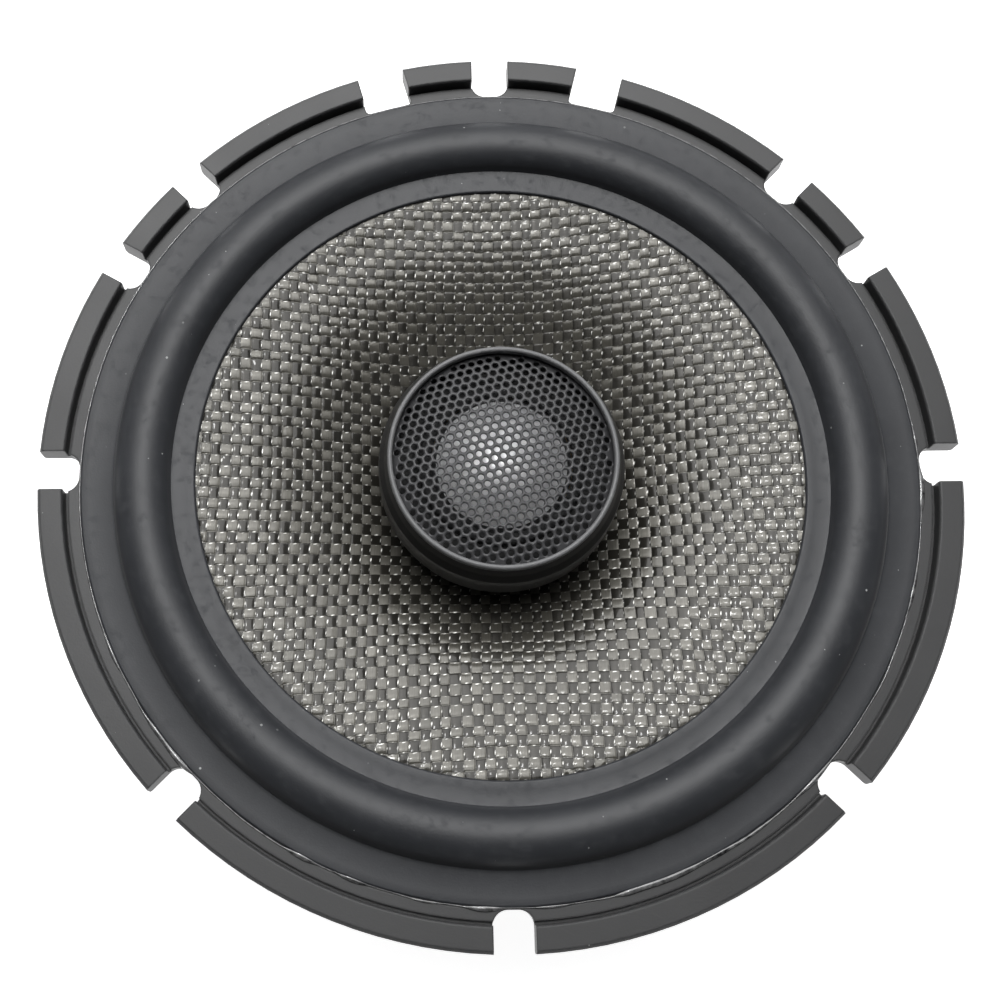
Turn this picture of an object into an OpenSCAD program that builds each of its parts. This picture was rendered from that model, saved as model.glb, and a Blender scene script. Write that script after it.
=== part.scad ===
// Coaxial car loudspeaker, 6.5 inch class.
// The origin is the centre of the rear face of the magnet boot. +Z points out of
// the cone towards the listener, so the speaker stands on its magnet.
// All sizes are in millimetres.

/* [Flange and rim] */
// Outer diameter of the flange
flange_d = 165; // [150:1:200]
// From the rear face of the boot to the rear face of the flange
mount_depth = 60.4; // [56:0.2:76]
// Thickness of the flange
flange_t = 2.6; // [2:0.1:4]
// Height of the raised rim above the flange
rim_h = 2; // [1.6:0.1:3.5]
// Width of the raised rim
rim_w = 4.5; // [3:0.1:6]
// Width of the groove along the inside of the rim
groove_w = 0.6; // [0.4:0.1:1]
// Depth of that groove
groove_depth = 1; // [0.5:0.1:1.4]

/* [Mounting notches] */
// Width of a plain notch
notch_w = 7; // [4.5:0.1:8.5]
// Width of the two wide notches beside the top one
wide_notch_w = 9; // [6:0.1:11]
// Depth of every notch, from the outer edge inwards
notch_depth = 7; // [5.5:0.1:8.5]
// Corner radius at the bottom of a plain notch
notch_corner_r = 2.6; // [1:0.1:2.8]

/* [Surround] */
// Flange ledge between the notch bottoms and the rubber lip
lip_ledge = 0.3; // [0.2:0.1:2]
// Width of the outer lip, glued to the flange
outer_lip_w = 6.1; // [4:0.1:8]
// Width of the half roll
roll_w = 9.9; // [7:0.1:12]
// Height of the half roll above its lips
roll_h = 4; // [2.5:0.1:6]
// Width of the inner lip, glued to the cone
inner_lip_w = 4.5; // [3:0.1:6]
// Thickness of the two lips
lip_t = 1.1; // [0.8:0.1:1.6]
// Wall of the half roll
roll_wall = 0.8; // [0.5:0.1:1]
// Depth of the lips' upper face below the rim's upper face
lip_drop = 1.5; // [1:0.1:1.8]

/* [Cone] */
// Depth of the cone from its edge to its neck
cone_depth = 14; // [9:0.2:18]
// Curvature of the cone wall: 1 is straight, more is shallower at the edge
cone_curve = 1.7; // [1:0.05:2.2]
// Wall of the woven cone
cone_t = 0.6; // [0.4:0.05:1]
// Length of the collar that glues the cone to the coil former
cone_collar_h = 2; // [1.5:0.1:4]

/* [Voice coil] */
// Inner diameter of the coil former
coil_d = 25.5; // [21:0.1:31]
// Wall of the coil former
former_t = 0.25; // [0.15:0.05:0.4]
// Radial thickness of the winding
winding_t = 0.35; // [0.25:0.05:0.6]
// Length of the winding
winding_h = 9; // [6:0.5:12]
// Radial clearance on each side of the moving coil
coil_gap = 0.35; // [0.25:0.05:0.6]

/* [Motor] */
// Outer diameter of the ferrite ring
magnet_d = 90; // [80:1:100]
// Thickness of the ferrite ring
magnet_t = 17; // [12:0.5:20]
// Inner diameter of the ferrite ring
magnet_hole_d = 44; // [40:1:50]
// Diameter of the front plate
top_plate_d = 86; // [76:1:90]
// Diameter of the yoke's back plate
yoke_d = 82; // [74:1:88]
// Thickness of the front plate and of the yoke's back plate
plate_t = 5; // [4:0.5:7]
// Wall of the rubber boot around the magnet
boot_t = 1.5; // [1:0.1:2.5]

/* [Basket] */
// Wall of the basket
basket_t = 2; // [1.6:0.1:3]
// Diameter of the basket where it stands on the front plate
seat_d = 82; // [76:1:88]
// Height of the spider's ledge above the front plate
ledge_h = 14.5; // [13:0.5:18]
// Angle that each of the four windows spans
window_span = 62; // [40:1:68]
// Thickness of each stiffening rib
rib_t = 2.2; // [1.5:0.1:4]
// Depth of each stiffening rib
rib_depth = 2.4; // [1.5:0.1:4]

/* [Spider] */
// Outer diameter of the spider
spider_d = 77; // [72:1:78]
// Thickness of the treated cloth
spider_t = 0.5; // [0.4:0.05:0.8]
// Height of each corrugation, from its middle
spider_wave_h = 0.9; // [0.4:0.1:1.2]
// Number of corrugations
spider_waves = 6; // [4:1:8]

/* [Tweeter pod] */
// Largest diameter of the pod
pod_d = 43.8; // [42:0.2:47]
// Height of the pod's front ring above the rim
pod_rise = 6.6; // [4:0.1:9]
// Diameter of the ring at the front of the pod
bezel_d = 40.6; // [40:0.2:41.6]
// Width of that ring
bezel_w = 0.9; // [0.6:0.1:1.4]
// Outer diameter of the hollow stud that holds the pod
stud_d = 8; // [6.6:0.1:9.8]
// Bore of the stud for the two tweeter wires
stud_bore_d = 4; // [3.4:0.1:4.4]
// Diameter of the spacer between pole and pod
spacer_d = 16; // [12:0.5:18]

/* [Tweeter] */
// Diameter of the dome and of its coil former
dome_d = 25.2; // [20:0.2:26]
// Height of the dome
dome_h = 3.4; // [2.5:0.1:4]
// Clearance on each side of the tweeter's coil
tweeter_gap = 0.3; // [0.2:0.05:0.4]
// Radial thickness of the tweeter's winding
tweeter_winding_t = 0.25; // [0.15:0.05:0.4]
// Wall of the tweeter's cup
tweeter_cup_t = 2; // [1.5:0.1:2.5]

/* [Terminals] */
// Width of the terminal board
board_w = 22; // [20:1:30]
// Thickness of the terminal board
board_t = 1.6; // [1.2:0.1:2.4]
// Width of the positive blade
positive_blade_w = 4.8; // [4:0.1:6.3]
// Width of the negative blade
negative_blade_w = 2.8; // [2.4:0.1:6.3]
// Thickness of both blades
blade_t = 0.8; // [0.5:0.1:1]
// Diameter of the tweeter's capacitor
capacitor_d = 8; // [6:0.5:9]
// Length of the tweeter's capacitor
capacitor_l = 16; // [12:1:20]

/* [Hidden] */

$fn = 96;
eps = 0.01;
// Thin layer of glue between parts of different bodies
glue_gap = 0.1;
// Clearance of a screw, stud or rivet in its hole
hole_gap = 0.1;

// Places of the notches around the flange, in degrees from +X
plain_notches = [0, 30, 45, 90, 135, 150, 180, 225, 270, 315];
wide_notches = [75, 105];
wide_notch_corner_r = 0.8;

// Heights, from the rear of the boot upwards
yoke_z = boot_t;
magnet_z = yoke_z + plate_t;
front_plate_z = magnet_z + magnet_t;
seat_z = front_plate_z + plate_t;
ledge_z = seat_z + ledge_h;
flange_z = mount_depth;
flange_top_z = flange_z + flange_t;
rim_z = flange_top_z + rim_h;
lip_z = rim_z - lip_drop;

// Radii of the flange, surround and cone, from the outside inwards
flange_r = flange_d / 2;
lip_r = flange_r - notch_depth - lip_ledge;
roll_outer_r = lip_r - outer_lip_w;
roll_inner_r = roll_outer_r - roll_w;
roll_mid_r = (roll_outer_r + roll_inner_r) / 2;
cone_edge_r = roll_inner_r - inner_lip_w;
cone_edge_z = lip_z - lip_t - glue_gap;

// Voice coil and magnet gap
former_r = coil_d / 2;
winding_r = former_r + former_t;
coil_outer_r = winding_r + winding_t;
pole_r = former_r - coil_gap;
gap_r = coil_outer_r + coil_gap;
pole_top_z = seat_z + 2;
coil_z = front_plate_z + plate_t / 2 - winding_h / 2;
neck_r = winding_r + 0.05;
cone_neck_z = cone_edge_z - cone_depth;
former_top_z = cone_neck_z + 0.4;

// Basket
seat_r = seat_d / 2;
inner_wall_r = seat_r - basket_t;
mouth_r = roll_outer_r - 0.2;
ledge_inner_r = spider_d / 2 - 5;
ledge_outer_r = seat_r + 0.5;
ledge_t = 1.8;
window_inner_r = ledge_outer_r + 2.2;
window_outer_r = mouth_r - 2.5;
screw_circle_r = inner_wall_r - 9;
screw_r = 2;
screw_head_r = 3.6;

// Stud through the pole, with its nut in the back of the yoke
stud_r = stud_d / 2;
stud_bore_r = stud_bore_d / 2;
stud_end_z = yoke_z + 1.6;
washer_t = 1;
nut_h = 3.2;
nut_flats = stud_d + 5;
recess_r = nut_flats / 2 / cos(30) + 0.8;
nut_z = stud_end_z + 0.3;
washer_z = nut_z + nut_h;
recess_top_z = washer_z + washer_t;

// Pod and tweeter, from the front ring downwards
pod_top_z = rim_z + pod_rise;
pod_r = pod_d / 2;
bezel_r = bezel_d / 2;
bezel_h = 1.4;
pod_inner_r = bezel_r - bezel_w + 0.3;
grille_r = pod_inner_r - 0.1;
grille_t = 0.5;
grille_edge_z = pod_top_z - 2.2;
grille_crest = 2.1;
face_z = pod_top_z - 7.4;
face_t = 1.7;
tweeter_former_t = 0.15;
tweeter_former_r = dome_d / 2 + tweeter_former_t;
tweeter_coil_r = tweeter_former_r + tweeter_winding_t;
cup_inner_r = tweeter_coil_r + tweeter_gap;
cup_r = cup_inner_r + tweeter_cup_t;
cup_depth = 7;
cup_z = face_z - cup_depth;
cup_floor_t = 2;
tweeter_pole_r = dome_d / 2 - tweeter_gap;
tweeter_plate_t = 2;
tweeter_plate_z = face_z - 2.2;
tweeter_magnet_z = cup_z + cup_floor_t;
dome_z = face_z + 1.4;
stud_head_t = 1;
stud_head_r = 7;
stud_head_z = cup_z - stud_head_t;
pod_floor_t = 2;
pod_bottom_z = stud_head_z - pod_floor_t;

// Terminal board, on a pad at the foot of the -Y window
pad_z = ledge_z - 6.1;
pad_t = 1.8;
pad_w = 8;
pad_l = 15;
board_z = pad_z + pad_t;
board_l = 17;
board_inner_y = -(seat_r + 0.4);
blade_x = board_w / 2 - 5;
blade_z = board_z + board_t;
blade_inner_y = board_inner_y - 5.5;
blade_l = 19;
blade_rivet_y = blade_inner_y - 3.4;
blade_rivet_r = 1.1;
blade_rivet_head_r = 1.35;
board_rivet_r = 1.6;
board_rivet_head_r = 2.8;
rivet_head_h = 0.6;
board_rivet_y = -(seat_r + 0.9 + capacitor_d + board_rivet_head_r);
capacitor_r = capacitor_d / 2;
capacitor_y = -(seat_r + 0.3 + capacitor_r);
capacitor_z = pad_z - capacitor_r;

// Wires
tinsel_r = 0.6;
wire_r = 0.65;
wire_x = 0.75;
lead_r = 0.3;
wire_z = yoke_z + 0.7;
wire_out_y = -(magnet_d / 2 + boot_t + wire_r + 0.2);

// Points on an ellipse's arc, from angle a to angle b
function arc(cx, cy, rx, ry, a, b, steps) =
    [for (i = [0 : steps]) let (t = a + (b - a) * i / steps)
        [cx + rx * cos(t), cy + ry * sin(t)]];

// Height of the cone's front face at radius r
function cone_z(r) = cone_edge_z
    - cone_depth * pow((cone_edge_r - r) / (cone_edge_r - neck_r), cone_curve);

// Point at arc length s along the circle of radius r_mid, moved out to radius r
function bent(s, r, r_mid) =
    let (a = s / r_mid * 180 / PI) [r * cos(a), r * sin(a)];

// A rectangle with round corners, bent around the Z axis: s runs along the arc
function bent_window(r_in, r_out, span, corner) =
    let (r_mid = (r_in + r_out) / 2,
        half_s = span / 2 * PI / 180 * r_mid - corner,
        half_r = (r_out - r_in) / 2 - corner)
    [for (q = [[1, 1, 0], [-1, 1, 90], [-1, -1, 180], [1, -1, 270]])
        each concat(
            [for (i = [0 : 5]) let (t = q[2] + i * 18)
                bent(q[0] * half_s + corner * cos(t),
                    r_mid + q[1] * half_r + corner * sin(t), r_mid)],
            q[0] * q[1] < 0 ? [] : [for (k = [1 : 11])
                bent(q[0] * half_s * (1 - k / 6),
                    r_mid + q[1] * (half_r + corner), r_mid)])];

// Ring with a rectangular section
module ring(outer, inner, z, h) {
    translate([0, 0, z])
        difference() {
            cylinder(r = outer, h = h);
            translate([0, 0, -1]) cylinder(r = inner, h = h + 2);
        }
}

// Notch cutter, open outwards, with its bottom corners rounded
module notch_cut(angle, width, corner) {
    bottom = flange_r - notch_depth;
    rotate([0, 0, angle])
        translate([0, 0, flange_z - 1])
            linear_extrude(height = flange_t + rim_h + 2) {
                translate([bottom + corner, -width / 2])
                    square([notch_depth + 5, width]);
                translate([bottom, -width / 2 + corner])
                    square([corner + 1, width - 2 * corner]);
                for (side = [-1, 1])
                    translate([bottom + corner, side * (width / 2 - corner)])
                        circle(r = corner, $fn = 32);
            }
}

// Basket: flange with its raised rim and groove, sloping wall, spider ledge and seat
module basket_shell() {
    slope_r = mouth_r + basket_t;
    rotate_extrude()
        polygon([
            [gap_r + 3, seat_z], [seat_r, seat_z], [seat_r, ledge_z - 2.6],
            [slope_r, flange_z - 3], [slope_r, flange_z], [flange_r - 0.5, flange_z],
            [flange_r, flange_z + 0.5], [flange_r, rim_z - 0.5], [flange_r - 0.5, rim_z],
            [flange_r - rim_w + 0.3, rim_z], [flange_r - rim_w, rim_z - 0.3],
            [flange_r - rim_w, flange_top_z - groove_depth],
            [flange_r - rim_w - groove_w, flange_top_z - groove_depth],
            [flange_r - rim_w - groove_w, flange_top_z], [lip_r + 0.15, flange_top_z],
            [lip_r + 0.15, lip_z - lip_t], [mouth_r, lip_z - lip_t], [mouth_r, flange_z - 1.9],
            [ledge_outer_r, ledge_z], [ledge_inner_r, ledge_z],
            [ledge_inner_r, ledge_z - ledge_t], [inner_wall_r, ledge_z - ledge_t],
            [inner_wall_r, seat_z + basket_t], [gap_r + 3, seat_z + basket_t]]);
}

// Stiffening rib down the outside of a spoke
module spoke_rib(angle) {
    top_r = mouth_r + basket_t;
    rotate([0, 0, angle])
        translate([0, rib_t / 2, 0])
            rotate([90, 0, 0])
                linear_extrude(height = rib_t)
                    polygon([
                        [seat_r - 0.6, seat_z + 1], [seat_r + rib_depth, seat_z + 1],
                        [seat_r + rib_depth, ledge_z - 4.4],
                        [top_r + 0.8, flange_z - 4.6], [top_r + 0.8, flange_z + 0.4],
                        [top_r - 1, flange_z + 0.4], [top_r - 1, flange_z - 3],
                        [seat_r - 0.6, ledge_z - 2.4]]);
}

// Pad that carries the terminal board
module board_pad() {
    translate([-pad_w / 2, board_inner_y - pad_l, pad_z])
        cube([pad_w, pad_l + 1.2, pad_t]);
}

module basket() {
    rib_angle = (90 - window_span) / 2 - 3;
    color("#4c4d4f")
        difference() {
            union() {
                basket_shell();
                for (spoke = [45 : 90 : 315])
                    for (side = [-1, 1])
                        spoke_rib(spoke + side * rib_angle);
                board_pad();
            }
            for (a = plain_notches) notch_cut(a, notch_w, notch_corner_r);
            for (a = wide_notches) notch_cut(a, wide_notch_w, wide_notch_corner_r);
            for (a = [0 : 90 : 270])
                rotate([0, 0, a])
                    translate([0, 0, ledge_z - 1.6])
                        linear_extrude(height = flange_z - ledge_z)
                            polygon(bent_window(window_inner_r, window_outer_r,
                                window_span, 3.5));
            // Vents under the spider
            for (a = [45 : 90 : 315])
                rotate([0, 0, a])
                    translate([inner_wall_r - 3, 0, (seat_z + ledge_z) / 2])
                        rotate([0, 90, 0])
                            linear_extrude(height = basket_t + rib_depth + 6)
                                for (side = [-1, 1])
                                    translate([0, side * 3.5])
                                        circle(r = 2.4, $fn = 32);
            for (a = [0 : 90 : 270])
                rotate([0, 0, a + 45])
                    translate([screw_circle_r, 0, seat_z - 1])
                        cylinder(r = screw_r + hole_gap, h = basket_t + 2, $fn = 32);
            translate([0, board_rivet_y, pad_z - 1])
                cylinder(r = board_rivet_r + hole_gap, h = pad_t + 2, $fn = 32);
        }
}

// Rubber surround: outer lip, half roll and inner lip
module surround() {
    color("#55575b")
        rotate_extrude()
            polygon(concat(
                [[cone_edge_r, lip_z - 0.3], [cone_edge_r + 0.3, lip_z]],
                arc(roll_mid_r, lip_z, roll_w / 2, roll_h, 180, 0, 24),
                [[lip_r - 0.3, lip_z], [lip_r, lip_z - 0.3], [lip_r, lip_z - lip_t],
                    [roll_outer_r - roll_wall, lip_z - lip_t]],
                arc(roll_mid_r, lip_z, roll_w / 2 - roll_wall, roll_h - roll_wall, 0, 180, 24),
                [[roll_inner_r + roll_wall, lip_z - lip_t],
                    [cone_edge_r, lip_z - lip_t]]));
}

module cone() {
    steps = 24;
    radii = [for (i = [0 : steps])
        cone_edge_r - (cone_edge_r - neck_r) * i / steps];
    color("#8b877c")
        rotate_extrude()
            polygon(concat(
                [[roll_inner_r - 0.3, cone_edge_z]],
                [for (r = radii) [r, cone_z(r)]],
                [[neck_r, cone_neck_z - cone_collar_h],
                    [neck_r + cone_t, cone_neck_z - cone_collar_h]],
                [for (i = [steps - 1 : -1 : 0]) [radii[i] + cone_t * 0.3, cone_z(radii[i]) - cone_t]],
                [[roll_inner_r - 0.3, cone_edge_z - cone_t]]));
}

module coil_former() {
    color("#b98a4e") ring(winding_r, former_r, coil_z, former_top_z - coil_z);
}

module coil_winding() {
    color("#b5622c") ring(coil_outer_r, winding_r, coil_z + 0.4, winding_h);
}

// Corrugated spider, glued to its ledge and to the coil former
module spider() {
    inner = neck_r + 1.2;
    outer = ledge_inner_r - 0.3;
    mid_z = ledge_z + spider_t / 2;
    steps = spider_waves * 8;
    wave = [for (i = [0 : steps])
        [inner + (outer - inner) * i / steps,
            mid_z + spider_wave_h * sin(360 * spider_waves * i / steps)]];
    color("#c9a35e")
        rotate_extrude()
            polygon(concat(
                [[neck_r, mid_z - 0.9], [neck_r, mid_z + 0.9], [inner, mid_z + 0.9]],
                [for (p = wave) [p[0], p[1] + spider_t / 2]],
                [[spider_d / 2, ledge_z + spider_t], [spider_d / 2, ledge_z],
                    [outer + 0.3, ledge_z]],
                [for (i = [steps : -1 : 0]) [wave[i][0], wave[i][1] - spider_t / 2]],
                [[inner, mid_z - 0.9]]));
}

// Vector helpers for the wires
function unit(v) = v / norm(v);
function along(path, i) = unit(path[min(i + 1, len(path) - 1)] - path[max(i - 1, 0)]);

// Smooth curve through the points of a route
function smooth(route, steps) =
    let (last = len(route) - 1)
    concat([for (i = [0 : last - 1]) for (k = [0 : steps - 1])
        let (t = k / steps,
            p0 = route[max(i - 1, 0)], p1 = route[i],
            p2 = route[i + 1], p3 = route[min(i + 2, last)])
            0.5 * (2 * p1 + (p2 - p0) * t + (2 * p0 - 5 * p1 + 4 * p2 - p3) * t * t
                + (3 * p1 - p0 - 3 * p2 + p3) * t * t * t)],
        [route[last]]);

// Round wire swept along a path. No stretch of the path runs along ref.
module wire(path, radius, ref = [1, 0, 0]) {
    sides = 8;
    count = len(path);
    points = [for (i = [0 : count - 1])
        let (t = along(path, i), u = unit(cross(t, cross(ref, t))), v = cross(t, u))
            for (k = [0 : sides - 1])
                path[i] + radius * (u * cos(360 * k / sides) + v * sin(360 * k / sides))];
    walls = [for (i = [0 : count - 2]) for (k = [0 : sides - 1])
        [i * sides + k, i * sides + (k + 1) % sides,
            (i + 1) * sides + (k + 1) % sides, (i + 1) * sides + k]];
    caps = [[for (k = [sides - 1 : -1 : 0]) k],
        [for (k = [0 : sides - 1]) (count - 1) * sides + k]];
    polyhedron(points = points, faces = concat(walls, caps));
}

// Flexible lead from a blade, over the ledge and up to the cone
module tinsel_lead(side) {
    end_y = -(winding_r + 4.6);
    end_z = cone_z(norm([blade_x, end_y])) - cone_t - tinsel_r - 0.35;
    over_y = -(ledge_outer_r + 1.6);
    over_z = ledge_z + 2.5;
    color("#b07a3c")
        wire(smooth([
            [side * blade_x, blade_inner_y - 1, blade_z + blade_t + tinsel_r],
            [side * blade_x, blade_inner_y + 0.6, blade_z + blade_t + tinsel_r + 0.5],
            [side * blade_x, over_y, over_z],
            [side * blade_x, over_y + 8, over_z + 0.8],
            [side * blade_x, (over_y + end_y) / 2, (over_z + end_z) / 2 + 0.2],
            [side * blade_x, end_y - 4, end_z - 0.8],
            [side * blade_x, end_y, end_z]], 5), tinsel_r);
}

module tinsel_lead_positive() tinsel_lead(1);
module tinsel_lead_negative() tinsel_lead(-1);

module front_plate() {
    color("#8d9094")
        difference() {
            ring(top_plate_d / 2, gap_r, front_plate_z, plate_t);
            for (a = [45 : 90 : 315])
                rotate([0, 0, a])
                    translate([screw_circle_r, 0, front_plate_z - 1])
                        cylinder(r = screw_r + hole_gap, h = plate_t + 2, $fn = 32);
        }
}

module ring_magnet() {
    chamfer = 0.8;
    outer = magnet_d / 2;
    top = magnet_z + magnet_t;
    color("#2e2f31")
        rotate_extrude()
            polygon([
                [magnet_hole_d / 2, magnet_z], [outer - chamfer, magnet_z],
                [outer, magnet_z + chamfer], [outer, top - chamfer],
                [outer - chamfer, top], [magnet_hole_d / 2, top]]);
}

// Back plate and pole in one forging, with a bore for the stud
module yoke() {
    color("#8d9094")
        difference() {
            union() {
                translate([0, 0, yoke_z]) cylinder(r = yoke_d / 2, h = plate_t);
                translate([0, 0, yoke_z]) cylinder(r = pole_r, h = pole_top_z - yoke_z);
            }
            translate([0, 0, yoke_z - 1])
                cylinder(r = stud_r + hole_gap, h = pole_top_z + 2);
            translate([0, 0, yoke_z - 1])
                cylinder(r = recess_r, h = recess_top_z - yoke_z + 1);
            // Groove that leads the tweeter wires out to the side
            translate([-2, -yoke_d, yoke_z - 1]) cube([4, yoke_d, 3]);
        }
}

module magnet_boot() {
    inner = magnet_d / 2 + 0.05;
    outer = inner + boot_t;
    top = front_plate_z + 1.2;
    color("#232426")
        difference() {
            rotate_extrude()
                polygon([
                    [yoke_d / 2 - 5, 0], [outer - 2, 0], [outer, 2], [outer, top - 1],
                    [outer - 1, top], [top_plate_d / 2 + 0.2, top],
                    [top_plate_d / 2 + 0.2, front_plate_z], [inner, front_plate_z],
                    [inner, boot_t], [yoke_d / 2 - 5, boot_t]]);
            // Slot where the tweeter wires leave
            translate([-2, -outer - 1, boot_t]) cube([4, boot_t + 3, 5]);
        }
}

module basket_screws() {
    color("#a8abb0")
        for (a = [45 : 90 : 315])
            rotate([0, 0, a])
                translate([screw_circle_r, 0, 0])
                    difference() {
                        union() {
                            translate([0, 0, seat_z + basket_t])
                                cylinder(r = screw_head_r, h = 2, $fn = 32);
                            translate([0, 0, front_plate_z + 0.5])
                                cylinder(r = screw_r, h = plate_t + basket_t - 0.4, $fn = 32);
                        }
                        for (turn = [0, 90])
                            rotate([0, 0, turn])
                                translate([-0.4, -2, seat_z + basket_t + 1])
                                    cube([0.8, 4, 2]);
                    }
}

module terminal_board() {
    color("#5a4630")
        difference() {
            translate([-board_w / 2, board_inner_y - board_l, board_z])
                cube([board_w, board_l, board_t]);
            for (side = [-1, 1])
                translate([side * blade_x, blade_rivet_y, board_z - 1])
                    cylinder(r = blade_rivet_r + hole_gap, h = board_t + 2, $fn = 32);
            translate([0, board_rivet_y, board_z - 1])
                cylinder(r = board_rivet_r + hole_gap, h = board_t + 2, $fn = 32);
        }
}

// Push-on blade with a tapered nose and a hole for its rivet
module blade(side, width) {
    nose = 1;
    color("#c8b26a")
        difference() {
            translate([side * blade_x, blade_inner_y, blade_z])
                linear_extrude(height = blade_t)
                    polygon([
                        [-width / 2, 0], [-width / 2, -blade_l + nose],
                        [-width / 2 + nose * 0.6, -blade_l], [width / 2 - nose * 0.6, -blade_l],
                        [width / 2, -blade_l + nose], [width / 2, 0]]);
            translate([side * blade_x, blade_rivet_y, blade_z - 1])
                cylinder(r = blade_rivet_r + hole_gap, h = blade_t + 2, $fn = 32);
            translate([side * blade_x, blade_inner_y - blade_l + 3.6, blade_z - 1])
                cylinder(r = 0.7, h = blade_t + 2, $fn = 32);
        }
}

module positive_blade() blade(1, positive_blade_w);
module negative_blade() blade(-1, negative_blade_w);

// Tubular rivet with a flat head at each end
module rivet(radius, head_r, bottom, top) {
    translate([0, 0, bottom - eps]) cylinder(r = radius, h = top - bottom + 2 * eps, $fn = 32);
    translate([0, 0, top]) cylinder(r = head_r, h = rivet_head_h, $fn = 32);
    translate([0, 0, bottom - rivet_head_h]) cylinder(r = head_r, h = rivet_head_h, $fn = 32);
}

module blade_rivets() {
    color("#c8b26a")
        for (side = [-1, 1])
            translate([side * blade_x, blade_rivet_y, 0])
                rivet(blade_rivet_r, blade_rivet_head_r, board_z, blade_z + blade_t);
}

module board_rivet() {
    color("#a8abb0")
        translate([0, board_rivet_y, 0])
            rivet(board_rivet_r, board_rivet_head_r, pad_z, blade_z);
}

module capacitor() {
    crimp = 0.35;
    half = capacitor_l / 2;
    color("#20242c")
        translate([0, capacitor_y, capacitor_z])
            rotate([0, 90, 0])
                rotate_extrude()
                    polygon([
                        [0, -half], [capacitor_r - 0.4, -half], [capacitor_r, -half + 0.4],
                        [capacitor_r, half - 3], [capacitor_r - crimp, half - 2.5],
                        [capacitor_r, half - 2], [capacitor_r, half - 0.4],
                        [capacitor_r - 0.4, half], [0, half]]);
}

// Lead from the capacitor's free end, around the board's edge, to the positive blade
module capacitor_lead() {
    edge_x = board_w / 2 + 0.9;
    top_z = blade_z + lead_r + 0.1;
    color("#b9bcc2")
        wire(smooth([
            [capacitor_l / 2, capacitor_y, capacitor_z],
            [capacitor_l / 2 + 1.4, capacitor_y, capacitor_z],
            [edge_x, capacitor_y - 0.6, capacitor_z + 1.6],
            [edge_x, capacitor_y - 2, board_z],
            [edge_x - 0.4, capacitor_y - 2.6, top_z - 0.1],
            [edge_x - 1.4, capacitor_y - 2.8, top_z],
            [blade_x + positive_blade_w / 2, capacitor_y - 2.8, top_z]], 4), lead_r, [0, 1, 0]);
}

// The stretch that both tweeter wires share: down the stud, along the groove
// in the back of the yoke, out through the boot and up its side
function wire_run(x) = [
    [x, 0, stud_head_z - 1], [x, 0, pole_top_z], [x, 0, stud_end_z + 2],
    [x, -0.3, wire_z + 0.9], [x, -1.6, wire_z], [x, -yoke_d / 4, wire_z],
    [x, -yoke_d / 2, wire_z], [x, -magnet_d / 2, wire_z + 0.5],
    [x, wire_out_y + 0.5, wire_z + 1.6], [x, wire_out_y, wire_z + 4],
    [x, wire_out_y, magnet_z + magnet_t / 2], [x, wire_out_y, front_plate_z - 3]];

module tweeter_wire_positive() {
    end_x = -capacitor_l / 2;
    color("#a32020")
        wire(smooth(concat(wire_run(-wire_x), [
            [-wire_x - 1.5, wire_out_y, front_plate_z + 0.5],
            [end_x + 1, wire_out_y + 0.6, capacitor_z - 6.4],
            [end_x - 2.6, capacitor_y - 0.4, capacitor_z - 3],
            [end_x - 2.4, capacitor_y, capacitor_z - 0.6],
            [end_x - 1.2, capacitor_y, capacitor_z],
            [end_x, capacitor_y, capacitor_z]]), 3), wire_r, [1, 0.35, 0.35]);
}

module tweeter_wire_negative() {
    color("#1c1c1e")
        wire(smooth(concat(wire_run(wire_x), [
            [wire_x - 0.6, wire_out_y - 1.4, front_plate_z + 1.5],
            [-blade_x / 2, blade_rivet_y - 0.8, capacitor_z - 4.6],
            [-blade_x + 0.4, blade_rivet_y - 0.9, capacitor_z - 1.2],
            [-blade_x, blade_rivet_y - 0.7, capacitor_z + 2.2],
            [-blade_x, blade_rivet_y - 0.7, board_z - rivet_head_h]]), 3), wire_r);
}

// Hollow threaded stud with a flat head inside the pod
module tweeter_stud() {
    color("#c8b26a")
        difference() {
            union() {
                translate([0, 0, stud_end_z]) cylinder(r = stud_r, h = cup_z - stud_end_z);
                translate([0, 0, stud_head_z]) cylinder(r = stud_head_r, h = stud_head_t);
            }
            translate([0, 0, stud_end_z - 1]) cylinder(r = stud_bore_r, h = cup_z);
        }
}

module stud_washer() {
    color("#a8abb0") ring(recess_r - 0.6, stud_r + hole_gap, washer_z, washer_t);
}

module stud_nut() {
    color("#a8abb0")
        difference() {
            translate([0, 0, nut_z])
                cylinder(r = nut_flats / 2 / cos(30), h = nut_h, $fn = 6);
            translate([0, 0, nut_z - 1])
                cylinder(r = stud_r + hole_gap / 2, h = nut_h + 2);
        }
}

module pod_spacer() {
    color("#1f2022")
        ring(spacer_d / 2, stud_r + hole_gap, pole_top_z, pod_bottom_z - pole_top_z);
}

// Moulded pod: a cup for the tweeter whose underside tapers towards the spacer
module tweeter_pod() {
    shoulder_z = pod_top_z - bezel_h;
    color("#1b1c1e")
        rotate_extrude()
            polygon([
                [stud_r + hole_gap, pod_bottom_z], [spacer_d / 2 + 2.5, pod_bottom_z],
                [pod_r - 1.7, rim_z - 7.2], [pod_r - 0.5, rim_z - 6.4], [pod_r, rim_z - 5],
                [pod_r, rim_z + 0.5], [pod_r - 0.15, rim_z + 2],
                [bezel_r + 0.6, shoulder_z - 1.6], [bezel_r, shoulder_z],
                [pod_inner_r, shoulder_z], [pod_inner_r, face_z], [cup_r + 0.4, face_z],
                [cup_r + 0.4, cup_z], [stud_head_r + 0.4, cup_z],
                [stud_head_r + 0.4, stud_head_z], [stud_r + hole_gap, stud_head_z]]);
}

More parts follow.
